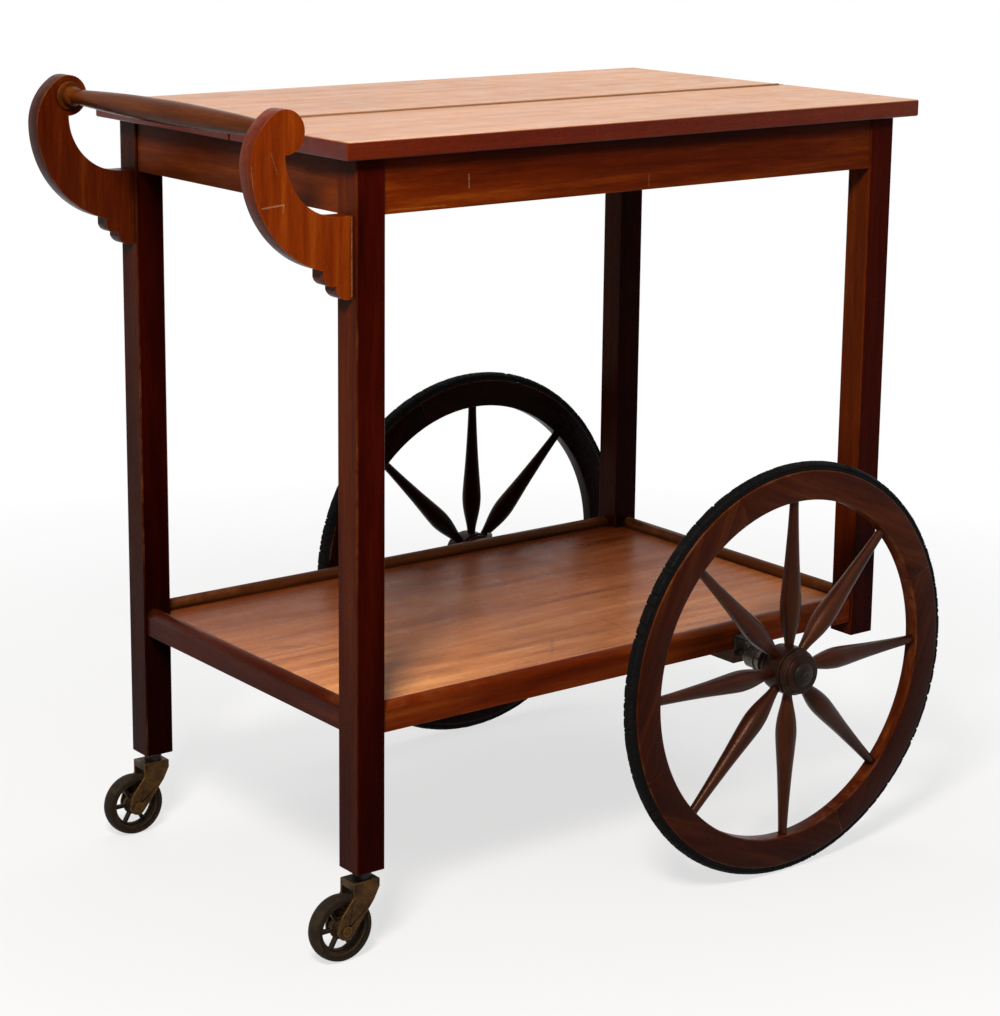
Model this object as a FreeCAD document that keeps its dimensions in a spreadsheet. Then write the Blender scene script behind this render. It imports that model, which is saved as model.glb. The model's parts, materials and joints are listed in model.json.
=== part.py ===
"""Tea trolley with two large spoked wheels, two casters, a scrolled push handle and a folding leaf.

Millimetres, +Z up.  +X runs from the handle towards the large wheels and -Y is the side with the leaf.
The origin is on the floor, under the middle of the whole trolley.
"""
import FreeCAD, Part
import math
import os
import re

import Sketcher

Vector = FreeCAD.Vector
UP = Vector(0, 0, 1)
SAME = 0.001

# Driving dimensions: name, millimetres (or a count), what it is.
SIZES = (
    # top
    ("top_height", 742, "floor to the upper face of the top"),
    ("top_thickness", 16.5, "both boards of the top"),
    ("top_overhang_handle", 15, "top past the legs at the handle end"),
    ("top_overhang_wheel", 24, "top past the legs at the wheel end"),
    ("top_overhang_near", 10.5, "top past the legs on the leaf side"),
    ("top_overhang_far", 20, "top past the legs on the other side"),
    ("top_edge_round", 2, "eased outer edges of the top"),
    ("leaf_depth", 190.5, "near edge of the top to the middle of the seam"),
    ("leaf_rest_gap", 0.2, "between the leaf and the aprons it rests on"),
    # frame
    ("frame_length", 641, "outside the legs, along the trolley"),
    ("frame_depth", 405.5, "outside the legs, across the trolley"),
    ("leg_side", 30, "square section of the legs"),
    ("leg_arris", 1, "small chamfer on the legs' corners"),
    ("leg_below_shelf", 13.8, "legs at the wheel end below the shelf rails"),
    ("apron_height", 49, "aprons, up to the underside of the top"),
    ("apron_thickness", 18, "aprons"),
    ("apron_inset_long", 1.5, "long aprons behind the legs' outer faces"),
    ("apron_inset_end", 2.5, "end aprons behind the legs' outer faces"),
    ("apron_tenon", 8, "thickness of the aprons' tenons"),
    ("apron_shoulder", 5.5, "shoulder above and below the aprons' tenons"),
    ("tenon_length", 12, "all tenons in the legs"),
    ("joint_clearance", 0.1, "round every glued tenon and dowel"),
    ("bearer_width", 45, "bearer under the seam"),
    ("bearer_height", 22, "bearer under the seam"),
    ("bearer_stub", 8, "stub tenons of the bearer in the end aprons"),
    ("bearer_shoulder", 5, "shoulders round the bearer's stub tenons"),
    ("glue_block_length", 50, "blocks that hold the fixed board to the aprons"),
    ("glue_block_side", 16, "glue blocks, square in section"),
    ("glue_block_chamfer", 7, "glue blocks' free corner"),
    ("glue_block_spacing", 300, "between the two glue blocks of the far apron"),
    # shelf
    ("rail_over_axle", 0.3, "shelf rails above the axle"),
    ("shelf_rail_height", 27, "shelf rails with their rounded top"),
    ("shelf_rail_width", 15, "shelf rails"),
    ("shelf_rail_inset", 3, "shelf rails behind the legs' outer faces"),
    ("shelf_tenon", 6, "thickness of the shelf rails' tenons"),
    ("shelf_tenon_height", 12, "shelf rails' tenons"),
    ("shelf_shoulder", 5, "shoulder below the shelf rails' tenons"),
    ("shelf_rise", 17.2, "shelf panel's upper face above the underside of its rails"),
    ("shelf_thickness", 9, "shelf panel"),
    ("shelf_tongue", 5, "tongue round the shelf panel, at its underside"),
    ("shelf_field_gap", 0.5, "raised field of the panel inside its rails"),
    ("groove_depth", 5, "groove in the shelf rails for the panel"),
    ("groove_clearance", 0.2, "round the panel in its groove and at the legs"),
    # folding leaf's hinge
    ("seam_gap", 3.8, "between the two boards of the top"),
    ("hinge_margin", 10, "from the ends of the top to the hinge"),
    ("hinge_knuckles", 9, "knuckles, the first and last on the fixed board"),
    ("hinge_rise", 0.2, "pin's axis above the top"),
    ("knuckle_radius", 1.6, "outside of a knuckle"),
    ("hinge_pin_radius", 0.8, "hinge pin"),
    ("hinge_plate", 0.9, "thickness of the hinge plates"),
    ("hinge_plate_drop", 12, "hinge plates below the pin's axis"),
    ("hinge_clearance", 0.3, "between parts of the hinge that pass each other"),
    ("hinge_pin_fit", 0.05, "pin in its knuckles, radial"),
    ("hinge_screw_count", 5, "screws in each hinge plate"),
    ("hinge_screw_drop", 7.2, "screws below the pin's axis"),
    ("hinge_screw_radius", 1.3, "shank of the hinge screws"),
    ("hinge_screw_head", 2.4, "countersunk head of the hinge screws, radius"),
    ("hinge_screw_length", 12, "hinge screws in the boards"),
    # handle
    ("bracket_thickness", 18, "scrolled handle brackets"),
    ("bracket_reach", 100.7, "brackets past the legs' outer faces"),
    ("bracket_widest_drop", 16.5, "widest point of the scroll below the top"),
    ("bracket_low_radius", 96.5, "outer curve below the widest point"),
    ("bracket_head_radius", 19.1, "round head of the scroll"),
    ("bracket_head_out", 66.8, "centre of the head from the legs' outer faces"),
    ("bracket_head_rise", 10, "centre of the head above the top"),
    ("bracket_inner_radius", 54.8, "inner curve of the scroll"),
    ("bracket_inner_out", 12.4, "centre of the inner curve from the legs' outer faces"),
    ("bracket_inner_drop", 9.6, "centre of the inner curve below the top"),
    ("bracket_foot_drop", 135.6, "lowest point of the bracket below the top"),
    ("bracket_step_out", 29.3, "upper step from the legs' outer faces"),
    ("bracket_step_low", 19.2, "start of the upper rounded step above the foot"),
    ("bracket_tread_out", 16.4, "lower step from the legs' outer faces"),
    ("bracket_tread_high", 12.2, "end of the upper rounded step above the foot"),
    ("bracket_tread_low", 7.1, "start of the lower rounded step above the foot"),
    ("bracket_step_radius", 10, "upper rounded step"),
    ("bracket_tread_radius", 12.5, "lower rounded step"),
    ("dowel_radius", 4, "dowels between a bracket and its leg"),
    ("dowel_length", 24, "dowels between a bracket and its leg"),
    ("dowel_low", 16, "lower dowel above the bracket's foot"),
    ("dowel_spacing", 38, "between the two dowels of a bracket"),
    ("grip_radius", 11, "push rail at its middle"),
    ("grip_neck_radius", 6.8, "push rail at its necks"),
    ("grip_neck_from_end", 17, "neck from the bracket"),
    ("grip_bead_radius", 9.7, "bead of the push rail"),
    ("grip_bead_from_end", 3, "start of the bead from the bracket"),
    ("grip_bead_width", 10, "bead of the push rail"),
    ("grip_bead_foot_radius", 8, "foot of the push rail's bead"),
    ("grip_collar_radius", 13.5, "round shoulder against the bracket"),
    ("grip_collar_width", 2.6, "round shoulder against the bracket"),
    ("grip_spigot_radius", 6, "spigot of the push rail in the bracket"),
    ("grip_spigot_length", 12, "spigot of the push rail in the bracket"),
    # large wheels
    ("axle_setback", 179.4, "axle from the wheel-end legs' outer faces"),
    ("axle_radius", 4, "steel axle"),
    ("rim_radius", 198, "wooden rim, outside"),
    ("tyre_depth", 8.5, "rubber tyre, radially"),
    ("rim_depth", 29, "wooden rim, radially"),
    ("rim_width", 15.5, "wooden rim, along the axle"),
    ("rim_arris", 1.2, "chamfer on the rim's corners"),
    ("felloe_gap", 0.2, "joint between two felloes of the rim"),
    ("tyre_width", 12.6, "rubber tyre"),
    ("tyre_seat_gap", 0.05, "tyre over the rim"),
    ("tyre_flank", 3.2, "straight flank of the tyre beside the rim"),
    ("spoke_tip_radius", 4.4, "spoke at the hub and at the rim"),
    ("spoke_belly_radius", 10.4, "thickest part of a spoke"),
    ("spoke_belly_at", 66, "thickest part of a spoke from the axle"),
    ("spoke_inner_bend", 24, "round of the belly towards the hub"),
    ("spoke_outer_bend", 12, "round of the belly towards the rim"),
    ("spoke_bend_drop", 0.7, "spoke thinner at the end of that round, radially"),
    ("spoke_waist_from_belly", 48, "slight change of taper, outward of the belly"),
    ("spoke_waist_drop", 3.5, "spoke thinner there than at the belly, radially"),
    ("spoke_seat", 9, "spoke in the hub and in the rim"),
    ("spoke_fit", 0.1, "spoke in its holes, radial"),
    ("spoke_count", 8, "spokes in each large wheel"),
    ("felloe_count", 4, "felloes in each rim"),
    ("near_wheel_offset", 64, "near wheel's spokes outside the legs"),
    ("far_wheel_offset", 43, "far wheel's spokes outside the legs"),
    ("hub_radius", 24, "barrel of the hub"),
    ("hub_barrel_half", 10, "half the barrel's width"),
    ("hub_waist_radius", 20.8, "hub beside its barrel"),
    ("hub_inboard", 27.4, "hub inward of the spokes"),
    ("hub_inboard_radius", 15.5, "hub's inner end"),
    ("hub_outboard", 21, "wooden hub outward of the spokes"),
    ("hub_ring_radius", 22.6, "turned ring of the hub"),
    ("hub_ring_width", 2.4, "turned ring of the hub"),
    ("hub_ring_gap", 1.8, "groove between the barrel and the ring"),
    ("hub_end_chamfer", 1.8, "hub's outer end"),
    ("hub_recess_radius", 10, "recess in the hub for the axle nut"),
    ("hub_recess_depth", 10, "recess in the hub for the axle nut"),
    ("bush_radius", 7, "iron bush in the hub"),
    ("bush_fit", 0.05, "bush on the axle, radial"),
    ("cap_radius", 12, "domed hub cap"),
    ("cap_rise", 4.5, "domed hub cap"),
    ("cap_plug_depth", 1.2, "hub cap's plug in the recess"),
    ("cap_screw_radius", 3.4, "screw in the hub cap"),
    ("cap_screw_rise", 0.8, "screw head proud of the hub cap"),
    ("running_gap", 0.3, "between turning and standing parts"),
    ("nut_radius", 6.9, "axle nut, across its corners / 2"),
    ("nut_height", 4.4, "axle nut"),
    ("washer_radius", 8.8, "axle washer"),
    ("washer_thickness", 1.2, "axle washer"),
    ("axle_end", 1, "axle past its nut"),
    # axle beam and eye bolts
    ("beam_width", 20, "wooden beam under the shelf that carries the axle"),
    ("beam_height", 14.6, "wooden beam under the shelf"),
    ("beam_slot_clearance", 0.1, "axle in the beam's slot"),
    ("eye_offset", 8.6, "eye bolts outside the legs' outer faces"),
    ("eye_radius", 8, "eye of the bolt round the axle"),
    ("eye_width", 7.4, "eye along the axle"),
    ("eye_fit", 0.1, "eye on the axle, radial"),
    ("eye_shank_radius", 3, "shank of the eye bolt"),
    ("eye_bolt_rise", 6, "eye bolt above its upper nut"),
    ("lug_thickness", 3, "angle plate that holds the eye bolt"),
    ("lug_width", 22, "angle plate along the rail"),
    ("lug_rise", 12.2, "underside of the angle plate's shelf above that of the rails"),
    ("lug_reach", 6, "angle plate past the bolt's centre"),
    ("bolt_nut_radius", 5.6, "eye bolt's nuts, across their corners / 2"),
    ("bolt_nut_height", 4, "eye bolt's nuts"),
    ("spacer_radius", 11, "spacers between the eyes and the hubs"),
    ("spacer_ring_radius", 12.2, "raised ring at the middle of a long spacer"),
    ("spacer_ring_width", 3, "raised ring of a spacer"),
    # casters
    ("caster_leg_foot", 83, "floor to the foot of the caster legs"),
    ("caster_wheel_radius", 31, "caster wheel"),
    ("caster_trail", 24, "caster wheel's pin behind its stem"),
    ("caster_tread_width", 15, "caster wheel's tread"),
    ("caster_tread_lip", 1, "tread past the wheel's rim on each side"),
    ("caster_tread_depth", 4.5, "caster wheel's tread, radially"),
    ("caster_tread_crown", 1.5, "round of the tread across its face"),
    ("caster_hub_width", 16.4, "caster wheel's hub"),
    ("caster_hub_radius", 8, "caster wheel's hub"),
    ("caster_rim_depth", 3.5, "caster wheel's inner rim, radially"),
    ("caster_web", 4, "caster wheel's web"),
    ("caster_window_count", 6, "windows in the web"),
    ("caster_window_inner", 10.5, "windows in the web, nearest the pin"),
    ("caster_window_outer", 20, "windows in the web, furthest from the pin"),
    ("caster_arm", 3.6, "arms between the windows"),
    ("caster_pin_radius", 3, "caster wheel's pin"),
    ("caster_pin_fit", 0.06, "wheel on its pin, radial"),
    ("caster_pin_head", 1.4, "riveted heads of the pin"),
    ("caster_pin_head_radius", 4.6, "riveted heads of the pin"),
    ("fork_width", 22, "caster fork, overall"),
    ("fork_plate", 2.4, "cheeks of the fork"),
    ("fork_top", 74, "floor to the top of the fork"),
    ("fork_bridge", 7, "bridge of the fork"),
    ("fork_end_radius", 9, "round end of the fork at the pin"),
    ("fork_edge_round", 1, "eased upper edges of the fork"),
    ("fork_front", 12.3, "front of the fork from its stem"),
    ("fork_back", 16.3, "back of the fork from its stem"),
    ("fork_back_low", 60, "floor to the end of the fork's upright back"),
    ("fork_back_bend_out", 29, "bend of the fork's back edge behind the stem"),
    ("fork_back_bend", 45, "floor to the bend of the fork's back edge"),
    ("fork_front_low", 66, "floor to the end of the fork's upright front"),
    ("fork_front_bend_out", 6, "bend of the fork's front edge before the stem"),
    ("fork_front_bend", 54, "floor to the bend of the fork's front edge"),
    ("stem_radius", 4, "caster stem"),
    ("stem_length", 46, "caster stem above the fork"),
    ("stem_fit", 0.06, "stem in its socket, radial"),
    ("socket_radius", 6, "socket tube in the leg"),
    ("socket_flange_radius", 11.5, "flange of the socket under the leg"),
    ("socket_flange", 2, "flange of the socket under the leg"),
    ("socket_crown", 1.5, "closed top of the socket"),
    ("collar_radius", 8.6, "collar on the stem"),
)

# Places worked out from the sizes.
PLACES = (
    ("top_length", "frame_length + top_overhang_handle + top_overhang_wheel"),
    ("top_depth", "frame_depth + top_overhang_near + top_overhang_far"),
    ("frame_top", "top_height - top_thickness"),
    ("axle_distance", "frame_length - axle_setback"),
    ("apron_bottom", "frame_top - apron_height"),
    ("wheel_radius", "rim_radius + tyre_depth"),
    ("shelf_rail_bottom", "wheel_radius + axle_radius + rail_over_axle"),
    ("shelf_top", "shelf_rail_bottom + shelf_rise"),
    ("wheel_leg_foot", "shelf_rail_bottom - leg_below_shelf"),
    ("lug_shelf", "shelf_rail_bottom + lug_rise"),
    ("eye_bolt_top", "lug_shelf + lug_thickness + bolt_nut_height + eye_bolt_rise"),
    ("near_reach", "near_wheel_offset + hub_outboard + cap_rise + cap_screw_rise"),
    ("far_reach", "far_wheel_offset + hub_outboard + cap_rise + cap_screw_rise"),
    ("right_reach", "max(axle_distance + wheel_radius; top_length - top_overhang_handle)"),
    ("frame_left", "bracket_reach - (bracket_reach + right_reach) / 2"),
    ("frame_near", "near_reach - (near_reach + frame_depth + far_reach) / 2"),
    ("seam", "leaf_depth - top_overhang_near"),
    ("pin_height", "top_height + hinge_rise"),
    ("hinge_length", "top_length - 2 * hinge_margin"),
    ("knuckle_length", "hinge_length / hinge_knuckles"),
    ("grip_length", "frame_depth - leg_side - bracket_thickness"),
    ("rim_inner", "rim_radius - rim_depth"),
    ("beam_bottom", "shelf_rail_bottom - beam_height"),
    ("nut_seat", "hub_outboard - hub_recess_depth + running_gap + washer_thickness"),
    ("axle_tip", "nut_seat + nut_height + axle_end"),
    ("spoke_root", "hub_radius - spoke_seat"),
    ("caster_socket_top", "fork_top + stem_length + running_gap + socket_crown"),
    ("caster_inner_radius", "caster_wheel_radius - caster_tread_depth"),
    ("caster_web_radius", "caster_inner_radius - caster_rim_depth"),
)

doc = FreeCAD.newDocument("TeaTrolley")
sizes = doc.addObject("Spreadsheet::Sheet", "Sizes")
places = doc.addObject("Spreadsheet::Sheet", "Places")
owners = {}
pieces = []


def bound(text):
    """The expression with each name led by the sheet that holds it."""
    return re.sub(r"[a-z][a-z_]*", lambda word: owners.get(word.group(), "") + word.group(), text)


def fill_sheets():
    for row, (name, value, meaning) in enumerate(SIZES, start=1):
        sizes.set(f"A{row}", meaning)
        sizes.set(f"B{row}", str(value))
        sizes.setAlias(f"B{row}", name)
        owners[name] = "Sizes."
    for row, (name, formula) in enumerate(PLACES, start=1):
        places.set(f"B{row}", "=" + bound(formula))
        places.setAlias(f"B{row}", name)
        owners[name] = "Places."
    doc.recompute()


def value(text):
    return float(sizes.evalExpression(bound(text)))


def bind(thing, **properties):
    for name, text in properties.items():
        thing.setExpression(name, bound(text))


def place(thing, x="0", y="0", z="0", turn=0.0, axis=UP):
    """Stand a piece or a feature at x, y, z, turned by so many degrees about an axis."""
    thing.Placement = FreeCAD.Placement(Vector(), FreeCAD.Rotation(axis, turn))
    for letter, text in zip("xyz", (x, y, z)):
        thing.setExpression(f"Placement.Base.{letter}", bound(text))


def in_frame(x, y, z="0"):
    """Place a point given from the handle end and the near side of the legs."""
    return f"frame_left + {x}", f"frame_near + {y}", z


def start(label):
    body = doc.addObject("PartDesign::Body", label)
    body.Label = label
    pieces.append(body)
    return body


def block(body, x, y, z, cut=False):
    """A box from the low to the high end of each span, added or cut away."""
    kind = "SubtractiveBox" if cut else "AdditiveBox"
    box = body.newObject(f"PartDesign::{kind}", body.Label + "_block")
    bind(box, Length=f"{x[1]} - ({x[0]})", Width=f"{y[1]} - ({y[0]})", Height=f"{z[1]} - ({z[0]})")
    place(box, x[0], y[0], z[0])
    doc.recompute()
    return box


AXIS_TURNS = {"x": (Vector(0, 1, 0), 90), "y": (Vector(-1, 0, 0), 90), "z": (UP, 0)}


def rod(body, radius, length, along="z", at=("0", "0", "0"), cut=False):
    """A cylinder that runs from a point along +x, +y or +z, added or cut away."""
    kind = "SubtractiveCylinder" if cut else "AdditiveCylinder"
    cylinder = body.newObject(f"PartDesign::{kind}", body.Label + "_rod")
    bind(cylinder, Radius=radius, Height=length)
    axis, turn = AXIS_TURNS[along]
    place(cylinder, *at, turn=turn, axis=axis)
    doc.recompute()
    return cylinder


def cone(body, first, last, length, along, at, cut=False):
    """A cone that runs from a point along +x, +y or +z, between its first and last radius."""
    kind = "SubtractiveCone" if cut else "AdditiveCone"
    taper = body.newObject(f"PartDesign::{kind}", body.Label + "_cone")
    bind(taper, Radius1=first, Radius2=last, Height=length)
    axis, turn = AXIS_TURNS[along]
    place(taper, *at, turn=turn, axis=axis)
    doc.recompute()


def origin_feature(body, role):
    return next(item for item in body.Origin.OriginFeatures if item.Role == role)


def draw(body, plane, corners):
    """Closed outline on an origin plane.

    Each corner is (across, up) or (across, up, radius): a radius makes the stretch to the next
    corner an arc, counter-clockwise where it is led by +1 and clockwise by -1, as (sign, radius).
    """
    sketch = body.newObject("Sketcher::SketchObject", body.Label + "_outline")
    sketch.AttachmentSupport = [(origin_feature(body, plane), "")]
    sketch.MapMode = "FlatFace"
    points = [Vector(value(corner[0]), value(corner[1]), 0) for corner in corners]
    ends = []
    for index, corner in enumerate(corners):
        first, last = points[index], points[(index + 1) % len(points)]
        if len(corner) == 2:
            edge = sketch.addGeometry(Part.LineSegment(first, last))
            ends.append((edge, 1, 2))
            continue
        sign, radius = corner[2]
        size = value(radius)
        chord = last - first
        rise = math.sqrt(max(size ** 2 - chord.Length ** 2 / 4, 0))
        centre = (first + last) / 2 + UP.cross(chord).normalize() * (sign * rise)
        low, high = (first, last) if sign > 0 else (last, first)
        angles = [math.atan2(end.y - centre.y, end.x - centre.x) for end in (low, high)]
        circle = Part.Circle(centre, UP, size)
        edge = sketch.addGeometry(Part.ArcOfCircle(circle, *angles))
        ends.append((edge, 1, 2) if sign > 0 else (edge, 2, 1))
        fix = sketch.addConstraint(Sketcher.Constraint("Radius", edge, size))
        sketch.setExpression(f"Constraints[{fix}]", bound(radius))
    for index, (edge, _, finish) in enumerate(ends):
        following, begin, _ = ends[(index + 1) % len(ends)]
        sketch.addConstraint(Sketcher.Constraint("Coincident", edge, finish, following, begin))
    for (edge, begin, _), corner, point in zip(ends, corners, points):
        for kind, text, size in (("DistanceX", corner[0], point.x), ("DistanceY", corner[1], point.y)):
            fix = sketch.addConstraint(Sketcher.Constraint(kind, -1, 1, edge, begin, size))
            sketch.setExpression(f"Constraints[{fix}]", bound(text))
    doc.recompute()
    return sketch


def pad(body, sketch, length, symmetric=False):
    feature = body.newObject("PartDesign::Pad", body.Label + "_pad")
    feature.Profile = sketch
    bind(feature, Length=length)
    if symmetric:
        feature.SideType = "Symmetric"
    doc.recompute()
    return feature


def pocket(body, sketch, length):
    """Cut the outline away, half the length to each side of its plane."""
    feature = body.newObject("PartDesign::Pocket", body.Label + "_pocket")
    feature.Profile = sketch
    bind(feature, Length=length)
    feature.SideType = "Symmetric"
    doc.recompute()
    return feature


def spin(body, sketch):
    """Turn the outline once round the sketch's upright axis."""
    feature = body.newObject("PartDesign::Revolution", body.Label + "_turning")
    feature.Profile = sketch
    feature.ReferenceAxis = (sketch, ["V_Axis"])
    feature.Angle = 360
    doc.recompute()
    return feature


def repeat_round(body, features, axis, count):
    """Copies of the features round one of the body's own axes."""
    pattern = body.newObject("PartDesign::PolarPattern", body.Label + "_round")
    pattern.Originals = features
    pattern.Axis = (origin_feature(body, axis), [""])
    pattern.Angle = 360
    bind(pattern, Occurrences=count)
    body.Tip = pattern
    doc.recompute()
    return pattern


def edges_where(feature, test):
    return [f"Edge{number}" for number, edge in enumerate(feature.Shape.Edges, start=1) if test(edge)]


def ease(body, base, kind, size, test):
    """Fillet or chamfer the edges that pass the test."""
    dressing = body.newObject(f"PartDesign::{kind}", body.Label + "_eased")
    dressing.Base = (base, edges_where(base, test))
    bind(dressing, **{"Radius" if kind == "Fillet" else "Size": size})
    doc.recompute()
    return dressing


def is_upright(edge):
    return all(abs(end.X - edge.Vertexes[0].X) < SAME and abs(end.Y - edge.Vertexes[0].Y) < SAME
               for end in edge.Vertexes)


def lies_at(edge, **spots):
    """True if both ends of the edge have these coordinates."""
    return all(abs(getattr(end, axis) - spot) < SAME
               for end in edge.Vertexes for axis, spot in spots.items())


# ---------------------------------------------------------------- frame

def along(end, low, high):
    """Span inward from one end of the legs."""
    return (low, high) if end == "handle" else (f"frame_length - ({high})", f"frame_length - ({low})")


def across(side, low, high):
    """Span inward from one side of the legs."""
    return (low, high) if side == "near" else (f"frame_depth - ({high})", f"frame_depth - ({low})")


APRON_TENON = ("apron_bottom + apron_shoulder", "frame_top - apron_shoulder")
SHELF_TENON = (
    "shelf_rail_bottom + shelf_shoulder",
    "shelf_rail_bottom + shelf_shoulder + shelf_tenon_height",
)


def mortise(body, end, side, run, inset, stock, tenon, upright):
    """Cut the leg for a tenon, with the joint's clearance all round."""
    deep = ("leg_side - tenon_length - joint_clearance", "leg_side")
    middle = f"{inset} + {stock} / 2"
    band = (f"{middle} - {tenon} / 2 - joint_clearance", f"{middle} + {tenon} / 2 + joint_clearance")
    height = (f"{upright[0]} - joint_clearance", f"{upright[1]} + joint_clearance")
    if run == "x":
        block(body, along(end, *deep), across(side, *band), height, cut=True)
    else:
        block(body, along(end, *band), across(side, *deep), height, cut=True)


def make_leg(end, side):
    leg = start(f"leg_{end}_{side}")
    foot = "caster_leg_foot" if end == "handle" else "wheel_leg_foot"
    post = block(leg, along(end, "0", "leg_side"), across(side, "0", "leg_side"), (foot, "frame_top"))
    ease(leg, post, "Chamfer", "leg_arris", is_upright)
    mortise(leg, end, side, "x", "apron_inset_long", "apron_thickness", "apron_tenon", APRON_TENON)
    mortise(leg, end, side, "y", "apron_inset_end", "apron_thickness", "apron_tenon", APRON_TENON)
    for run in "xy":
        mortise(leg, end, side, run, "shelf_rail_inset", "shelf_rail_width", "shelf_tenon", SHELF_TENON)
    if end == "handle":
        middle = across(side, "leg_side / 2", "leg_side / 2")[0]
        deep = "caster_socket_top - caster_leg_foot + joint_clearance"
        rod(leg, "socket_radius + joint_clearance", deep, "z", ("leg_side / 2", middle, foot), cut=True)
        for height in dowel_heights():
            bore = ("0", middle, f"top_height + {height}")
            half = "dowel_length / 2 + joint_clearance"
            rod(leg, "dowel_radius + joint_clearance", half, "x", bore, cut=True)
    place(leg, *in_frame("0", "0"))


def seat(piece, side, inset):
    """Set a rail against its side of the legs: outer face outward, first end at a leg."""
    spots = {
        "near": ("leg_side", inset, 0),
        "far": ("frame_length - leg_side", f"frame_depth - {inset}", 180),
        "handle_end": (inset, "frame_depth - leg_side", -90),
        "wheel_end": (f"frame_length - {inset}", "leg_side", 90),
    }
    x, y, turn = spots[side]
    place(piece, *in_frame(x, y), turn=turn)


def rail_length(side):
    return "frame_length - 2 * leg_side" if side in ("near", "far") else "frame_depth - 2 * leg_side"


def add_tenons(body, length, stock, tenon, upright):
    band = (f"({stock} - {tenon}) / 2", f"({stock} + {tenon}) / 2")
    block(body, ("-tenon_length", "0"), band, upright)
    block(body, (length, f"{length} + tenon_length"), band, upright)


def make_apron(side):
    apron = start(f"apron_{side}")
    length = rail_length(side)
    block(apron, ("0", length), ("0", "apron_thickness"), ("apron_bottom", "frame_top"))
    add_tenons(apron, length, "apron_thickness", "apron_tenon", APRON_TENON)
    if side in ("near", "far"):
        seat(apron, side, "apron_inset_long")
        return
    middle = "frame_depth - leg_side - seam" if side == "handle_end" else "seam - leg_side"
    half = "bearer_width / 2 - bearer_shoulder + joint_clearance"
    depth = ("apron_thickness - bearer_stub - joint_clearance", "apron_thickness")
    low = "frame_top - bearer_height + bearer_shoulder - joint_clearance"
    high = "frame_top - bearer_shoulder + joint_clearance"
    block(apron, (f"{middle} - ({half})", f"{middle} + {half}"), depth, (low, high), cut=True)
    seat(apron, side, "apron_inset_end")


def make_bearer():
    """Cross rail under the seam, stub-tenoned into the end aprons."""
    bearer = start("center_bearer")
    face = "apron_inset_end + apron_thickness"
    other = f"frame_length - ({face})"
    width = ("seam - bearer_width / 2", "seam + bearer_width / 2")
    block(bearer, (face, other), width, ("frame_top - bearer_height", "frame_top"))
    stub = ("seam - bearer_width / 2 + bearer_shoulder", "seam + bearer_width / 2 - bearer_shoulder")
    height = ("frame_top - bearer_height + bearer_shoulder", "frame_top - bearer_shoulder")
    block(bearer, (f"{face} - bearer_stub", face), stub, height)
    block(bearer, (other, f"{other} + bearer_stub"), stub, height)
    place(bearer, *in_frame("0", "0"))


def make_glue_blocks():
    """Chamfered blocks in the corners between the fixed board and its aprons."""
    blocks = start("glue_blocks")
    low = "frame_top - glue_block_side"
    height = (low, "frame_top")
    far_face = "frame_depth - apron_inset_long - apron_thickness"
    far_free = f"{far_face} - glue_block_side"
    for sign in "-+":
        middle = f"frame_length / 2 {sign} glue_block_spacing / 2"
        run = (f"{middle} - glue_block_length / 2", f"{middle} + glue_block_length / 2")
        one = block(blocks, run, (far_free, far_face), height)
        ease(blocks, one, "Chamfer", "glue_block_chamfer",
             lambda edge: lies_at(edge, Y=value(far_free), Z=value(low)) and
             min(end.X for end in edge.Vertexes) > value(run[0]) - SAME)
    face = "apron_inset_end + apron_thickness"
    middle = "(seam + bearer_width / 2 + frame_depth - leg_side) / 2"
    run = (f"{middle} - glue_block_length / 2", f"{middle} + glue_block_length / 2")
    for end in ("handle", "wheel"):
        span = along(end, face, f"{face} + glue_block_side")
        one = block(blocks, span, run, height)
        free = span[1] if end == "handle" else span[0]
        ease(blocks, one, "Chamfer", "glue_block_chamfer",
             lambda edge: lies_at(edge, X=value(free), Z=value(low)))
    place(blocks, *in_frame("0", "0"))


def make_shelf_rail(side):
    """Rail with a full-round top and a groove for the panel."""
    rail = start(f"shelf_rail_{side}")
    length = rail_length(side)
    low, top = "shelf_rail_bottom", "shelf_rail_bottom + shelf_rail_height"
    spring = f"{top} - shelf_rail_width / 2"
    half_round = (-1, "shelf_rail_width / 2")
    groove_low = "shelf_top - shelf_thickness - groove_clearance"
    groove_high = "shelf_top - shelf_thickness + shelf_tongue + groove_clearance"
    corners = (
        ("0", low),
        ("0", spring, half_round),
        ("shelf_rail_width / 2", top, half_round),
        ("shelf_rail_width", spring),
        ("shelf_rail_width", groove_high),
        ("shelf_rail_width - groove_depth", groove_high),
        ("shelf_rail_width - groove_depth", groove_low),
        ("shelf_rail_width", groove_low),
        ("shelf_rail_width", low),
    )
    pad(rail, draw(rail, "YZ_Plane", corners), length)
    add_tenons(rail, length, "shelf_rail_width", "shelf_tenon", SHELF_TENON)
    seat(rail, side, "shelf_rail_inset")


def make_shelf_panel():
    """Panel with a raised field inside the rails, a tongue round it, and notches at the legs."""
    panel = start("shelf_panel")
    tongue = "shelf_rail_inset + shelf_rail_width - groove_depth + groove_clearance"
    field = "shelf_rail_inset + shelf_rail_width + shelf_field_gap"
    low = "shelf_top - shelf_thickness"
    for edge, high in ((tongue, f"{low} + shelf_tongue"), (field, "shelf_top")):
        block(panel, (edge, f"frame_length - ({edge})"), (edge, f"frame_depth - ({edge})"), (low, high))
    notch = "leg_side + groove_clearance"
    for end in ("handle", "wheel"):
        for side in ("near", "far"):
            block(panel, along(end, "0", notch), across(side, "0", notch), (low, "shelf_top"), cut=True)
    place(panel, *in_frame("0", "0"))


# ---------------------------------------------------------------- top and hinge

def hinge_screw_runs():
    """Distances of the hinge screws from the handle end of the hinge."""
    count = round(value("hinge_screw_count"))
    return [f"hinge_length * ({number} + 1 / 2) / hinge_screw_count" for number in range(count)]


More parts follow.
